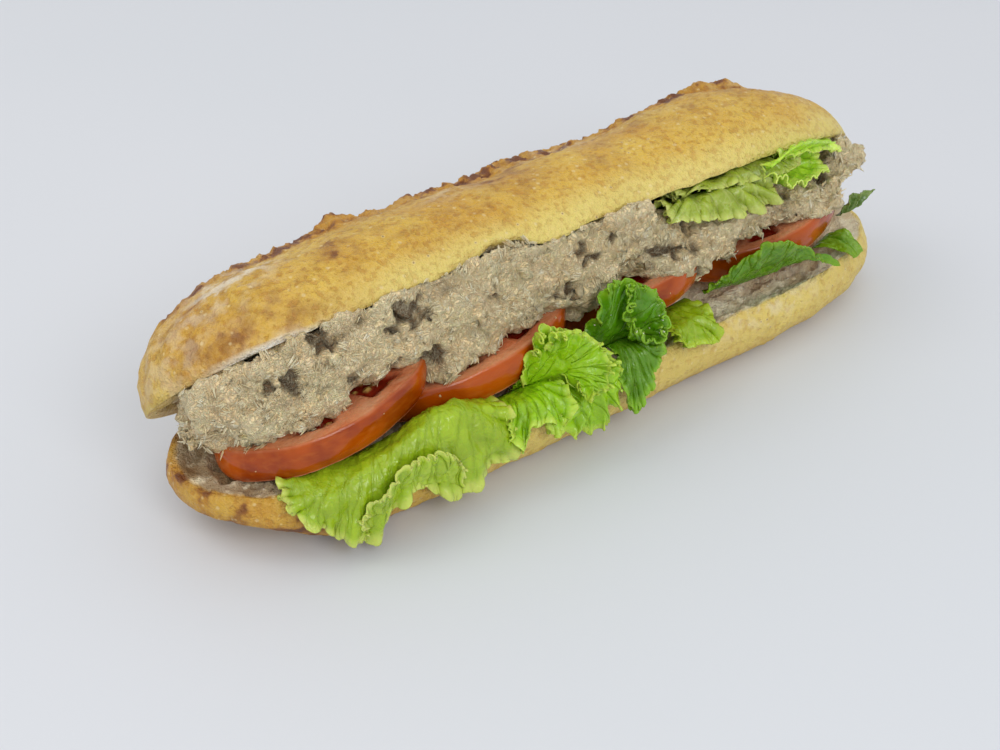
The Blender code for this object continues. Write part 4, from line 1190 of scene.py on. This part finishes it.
def vein_net_group():
    """The net of fine veins of a leaf, 1 on the veins, and the blisters between them, both at two sizes."""
    inputs = (("Scale", 260.0), ("Width", 0.08), ("Warp", 0.25))
    group, given, result = new_group("net of veins", inputs, ("Veins", "Blisters"))
    place = object_place(group)
    cloud = add(group, "ShaderNodeTexNoise", {"Vector": place, "Scale": 160.0, "Detail": 3.0})
    ways = {0: cloud.outputs["Color"], 1: (0.5, 0.5, 0.5)}
    centred = add(group, "ShaderNodeVectorMath", ways, operation="SUBTRACT").outputs[0]
    swing = {0: centred, "Scale": times(group, given["Warp"], 0.02)}
    moved = add(group, "ShaderNodeVectorMath", swing, operation="SCALE").outputs[0]
    warped = add(group, "ShaderNodeVectorMath", {0: place, 1: moved}, operation="ADD").outputs[0]
    nets = []
    for scale in (given["Scale"], times(group, given["Scale"], 2.7)):
        shape = {"Vector": warped, "Scale": scale}
        nets.append(add(group, "ShaderNodeTexVoronoi", shape, feature="DISTANCE_TO_EDGE").outputs["Distance"])
    coarse, fine = nets
    thin = times(group, ranged(group, fine, given["Width"], 0.0), 0.45)
    lines = maths(group, "MAXIMUM", ranged(group, coarse, given["Width"], 0.0), thin)
    group.links.new(lines, result["Veins"])
    group.links.new(plus(group, coarse, times(group, fine, 0.3)), result["Blisters"])
    return group


GROUPS = {
    "mottle": mottle_group(),
    "specks": speck_group(),
    "grain": grain_group(),
    "fibres": fibre_group(),
    "net": vein_net_group(),
}


def effect(tree, kind, output=0, **values):
    """One of the shared effects with this material's own values."""
    node = add(tree, "ShaderNodeGroup", values, node_tree=GROUPS[kind])
    return node.outputs[output]


def clouds(tree, name):
    """The cloudy patches listed under that name."""
    labels = ("Scale", "Detail", "From", "To", "Stretch")
    return effect(tree, "mottle", **dict(zip(labels, CLOUDS[name])))


def new_finish(name, roughness, soft=(), **sockets):
    """A material; soft is how much light goes into it, how far in metres, and how far for each colour."""
    made = bpy.data.materials.new(name)
    made.use_nodes = True
    shader = made.node_tree.nodes["Principled BSDF"]
    sockets["Roughness"] = roughness
    sockets.update(zip(("Subsurface_Weight", "Subsurface_Scale", "Subsurface_Radius"), soft))
    for label, value in sockets.items():
        shader.inputs[label.replace("_", " ")].default_value = value
    return made, made.node_tree, shader


def surface(tree, shader, colour, roughness=None, height=None, depth=0.0, strength=1.0):
    """Links the colour, the roughness and a relief of that depth in metres."""
    tree.links.new(colour, shader.inputs["Base Color"])
    if roughness is not None:
        tree.links.new(roughness, shader.inputs["Roughness"])
    if height is not None:
        node = add(tree, "ShaderNodeBump", {"Height": height, "Distance": depth, "Strength": strength})
        tree.links.new(node.outputs["Normal"], shader.inputs["Normal"])


def bread_finish():
    """Golden crust that browns on the torn lip and near end, flour dusting, and cream crumb on the cut; fine
    specks of crackle with painted glints, and painted shade in the crumb's pores and on the crumb at the near
    end.
    """
    made, tree, shader = new_finish("bread", 0.62, (0.08, 0.002, (1.0, 0.6, 0.3)))
    toast, pale, flour, crumb, lump = masks_of(tree, "toast", "pale", "flour", "crumb", "lump")
    patchy = clouds(tree, "crust patches")
    freckles = clouds(tree, "freckles")
    freckled = maths(tree, "SUBTRACT", 0.5, times(tree, pale, 0.25))
    gold = layered(
        tree,
        blend(tree, clouds(tree, "crust tones"), tone("gold"), tone("deep gold")),
        (tone("pale gold"), pale, 0.9),
        # crust crackle and painted glints: fine lighter specks
        (tone("crust crackle and glint"), clouds(tree, "crust grain"), 0.3),
        (tone("freckle"), freckles, freckled),
    )
    amber = blend(tree, patchy, tone("amber"), tone("deep amber"))
    browned = times(tree, toast, plus(tree, times(tree, patchy, 0.6), 0.6), clamp=True)
    dusting = times(tree, flour, clouds(tree, "flour"))
    crust = layered(
        tree,
        blend(tree, browned, gold, amber),
        (tone("burnt"), ranged(tree, times(tree, toast, plus(tree, patchy, 0.25)), 0.6, 1.15), 0.75),
        (tone("pale dot"), effect(tree, "specks", Scale=420.0, Size=0.3, Share=0.3), 0.5),
        (tone("burnt dot"), effect(tree, "specks", Scale=420.0, Size=0.16, Share=0.08), 0.6),
        (tone("flour"), dusting, 0.8),
    )
    cream = layered(
        tree,
        blend(tree, patchy, tone("crumb"), tone("deep crumb")),
        # painted shade: darker patches in the crumb's pores
        (tone("pore shade"), clouds(tree, "pores"), 0.4),
        (tone("crumb dot"), effect(tree, "specks", Scale=600.0, Size=0.3, Share=0.2), 1.0),
        # painted shade: the crumb darker at the near end, under the slices, where the toast mask is
        (tone("crumb shade near end"), times(tree, toast, clouds(tree, "crumb shade near end"), clamp=True), 1.0),
    )
    colour = layered(tree, blend(tree, crumb, crust, cream), (tone("white crumb"), lump, 0.95))
    shine = ranged(tree, plus(tree, crumb, dusting), 0.0, 1.0, 0.46, 0.85)
    height = plus(tree, effect(tree, "grain", Scale=1100.0, Pits=0.5), times(tree, freckles, -0.4))
    surface(tree, shader, colour, shine, height, 0.0006, 0.9)
    return made


def mash_finish():
    """Moist tuna mash: beige, greyer and pinker in patches, with painted shade dark in its gaps and crevices.
    """
    made, tree, shader = new_finish("tuna mash", 0.55, (0.12, 0.0015, (1.0, 0.55, 0.35)))
    clump, crevice_shade = masks_of(tree, "clump", "crevice_shade")
    fine = clouds(tree, "mash grain")
    fibres = effect(tree, "fibres", Scale=420.0, Swirl=2.2, Width=0.11)
    colour = layered(
        tree,
        blend(tree, clouds(tree, "mash tones"), tone("tuna"), tone("warm tuna")),
        (tone("pale tuna"), fine, 0.5),
        (tone("tuna lump"), ranged(tree, clump, -0.6, 0.9), 0.4),
        # painted shade in the crevices and gaps
        (tone("tuna crevice shade"), ranged(tree, crevice_shade, 0.25, 1.1), 1.0),
        (tone("tuna gap"), inverse(tree, fibres), 0.16),
        (tone("tuna fibre"), fibres, 0.3),
    )
    height = plus(tree, effect(tree, "grain", Scale=900.0, Pits=0.4), times(tree, fibres, 0.9))
    surface(tree, shader, colour, ranged(tree, fine, 0.0, 1.0, 0.42, 0.68), height, 0.0006)
    return made


def strand_finish():
    """Strands of tuna: each bundle has its own tone from warm beige to pale cream."""
    made, tree, shader = new_finish("tuna strands", 0.5, (0.15, 0.001, (1.0, 0.6, 0.4)))
    (tint,) = masks_of(tree, "tint")
    fibres = effect(tree, "fibres", Scale=900.0, Swirl=2.0, Width=0.12)
    colour = layered(
        tree,
        blend(tree, ranged(tree, tint, 0.15, 0.6), tone("warm strand"), tone("pale strand")),
        (tone("cream strand"), ranged(tree, tint, 0.6, 0.95), 1.0),
        (tone("strand patch"), clouds(tree, "strands"), 0.35),
        (tone("strand gap"), inverse(tree, fibres), 0.1),
    )
    surface(tree, shader, colour, None, fibres, 0.0002, 0.7)
    return made


def tomato_finish():
    """Glossy orange-red skin with a faint pale streaking, and wet pink-red flesh with darker chambers."""
    soft = (0.12, 0.002, (1.0, 0.25, 0.08))
    gloss = {"Coat_Weight": 0.15, "Coat_Roughness": 0.05, "Specular_IOR_Level": 0.32}
    made, tree, shader = new_finish("tomato", 0.2, soft, **gloss)
    skin, gel, seed, inner = masks_of(tree, "skin", "gel", "seed", "inner")
    patchy = clouds(tree, "tomato tones")
    streak = clouds(tree, "tomato streaks")
    peel = blend(tree, patchy, tone("peel"), tone("deep peel"))
    peel = layered(tree, peel, (tone("peel streak"), streak, 0.2))
    meat = layered(
        tree,
        blend(tree, patchy, tone("meat"), tone("deep meat")),
        (tone("meat streak"), streak, 0.55),
        (tone("core"), inner, 0.4),
        (tone("chamber"), gel, 1.0),
        (tone("seed"), seed, 1.0),
    )
    matt = times(tree, inverse(tree, skin), times(tree, clouds(tree, "wet tomato"), 0.3))
    height = effect(tree, "grain", Scale=700.0, Pits=0.5)
    height = times(tree, height, ranged(tree, skin, 0.0, 1.0, 1.0, 0.06))
    surface(tree, shader, blend(tree, skin, meat, peel), plus(tree, matt, 0.14), height, 0.0004, 0.6)
    return made


def leaf_finish(name):
    """A waxy leaf: blade, paler margin, forked veins, the blistered net of fine veins between them, and
    painted light on the crests of its ruffles.
    """
    blade, pale_margin, pale_vein = (shade(*colour) for colour in LEAF_TONES[name])
    deep = (*(0.55 * value for value in blade[:3]), 1.0)
    soft = (0.25, 0.002, (0.5, 1.0, 0.15))
    made, tree, shader = new_finish(f"lettuce {name}", 0.3, soft, Specular_IOR_Level=0.5)
    vein, margin, fold = masks_of(tree, "vein", "margin", "fold")
    cloud = clouds(tree, "leaf")
    net = {"Scale": 250.0, "Width": 0.09, "Warp": 0.3}
    edge = ranged(tree, plus(tree, margin, times(tree, cloud, 0.15)), 0.35, 1.05)
    colour = layered(
        tree,
        blade,
        (deep, cloud, 0.45),
        # painted light: the crests of the ruffles paler
        (pale_margin, ranged(tree, fold, 0.1, 1.0, 0.0, 0.4), 1.0),
        (pale_vein, effect(tree, "net", "Veins", **net), 0.3),
        (pale_vein, vein, 0.36),
        (pale_margin, edge, 0.75),
    )
    blisters = times(tree, effect(tree, "net", "Blisters", **net), 1.6)
    height = maths(tree, "SUBTRACT", blisters, vein)
    surface(tree, shader, colour, ranged(tree, cloud, 0.0, 1.0, 0.17, 0.32), height, 0.0004, 0.8)
    return made


def dressing_finish():
    """Small drops of creamy dressing, with a slightly broken tone."""
    made, tree, shader = new_finish("creamy dressing", 0.3, (0.2, 0.001))
    colour = blend(tree, clouds(tree, "dressing"), tone("dressing"), tone("deep dressing"))
    surface(tree, shader, colour, None, effect(tree, "grain", Scale=1500.0, Pits=0.2), 0.0001, 0.4)
    return made


def table_finish():
    """The pale table top, with a hardly visible change of tone."""
    made, tree, shader = new_finish("pale table", 0.55)
    surface(tree, shader, blend(tree, clouds(tree, "table"), tone("table"), tone("deep table")))
    return made


# The scene


def make_floor():
    reach = 3.0
    data = bpy.data.meshes.new("table_top")
    corners = [(-reach, -reach, 0), (reach, -reach, 0), (reach, reach, 0), (-reach, reach, 0)]
    data.from_pydata(corners, [], [(0, 1, 2, 3)])
    data.materials.append(table_finish())
    floor = placed("table_top", data)
    floor.location.z = -0.0002


def make_lamp(name, place, size, power, colour):
    lamp = bpy.data.lights.new(name, "AREA")
    lamp.shape = "DISK"
    lamp.size = size
    lamp.energy = power
    lamp.color = colour
    holder = placed(name, lamp)
    holder.location = place
    holder.rotation_euler = (Vector(LAMP_AIM) - Vector(place)).to_track_quat("-Z", "Y").to_euler()


def make_camera():
    data = bpy.data.cameras.new("view")
    data.sensor_width = 36
    data.lens = CAMERA_LENS
    data.clip_start = 0.01
    camera = placed("view", data)
    camera.location = CAMERA_PLACE
    camera.rotation_euler = [math.radians(turn) for turn in CAMERA_TURN]
    bpy.context.scene.camera = camera


def make_studio():
    world = bpy.data.worlds.new("studio")
    world.use_nodes = True
    sky = world.node_tree.nodes["Background"]
    sky.inputs["Color"].default_value = SKY_COLOUR
    sky.inputs["Strength"].default_value = SKY_STRENGTH
    bpy.context.scene.world = world
    bpy.context.scene.view_settings.view_transform = "Standard"
    for name, settings in LAMPS.items():
        make_lamp(name, *settings)


def joined(parts):
    """The points and directions of several pieces, each in one array."""
    return (np.concatenate(column) for column in zip(*parts))


def main():
    make_camera()
    make_studio()
    make_floor()
    bread = bread_finish()
    make_crown(bread)
    make_base(bread)
    tomato = tomato_finish()
    places, ways = joined([make_slice(name, tomato) for name in SLICES])
    mash = make_mash(mash_finish())
    strands = strand_finish()
    make_shreds(*mash, strands)
    make_wisps(*mash, strands)
    in_front = (places[:, 1] < -4) & (ways @ np.array([-0.3, -0.5, 0.8]) > 0.3)
    make_bits("tuna_bits", places[in_front], ways[in_front], 26, (0.15, 0.45), strands, 31)
    finishes = {name: leaf_finish(name) for name in LEAF_TONES}
    leaves = {}
    for number, (name, leaf) in enumerate(LEAVES.items()):
        leaves[name] = make_leaf(name, finishes[leaf["tone"]], 200 + 10 * number)
    places, ways = joined([leaves["lettuce_dark"], leaves["lettuce_dark_curl"]])
    make_bits("dressing_drops", places, ways, 60, (0.15, 0.5), dressing_finish(), 37)


main()
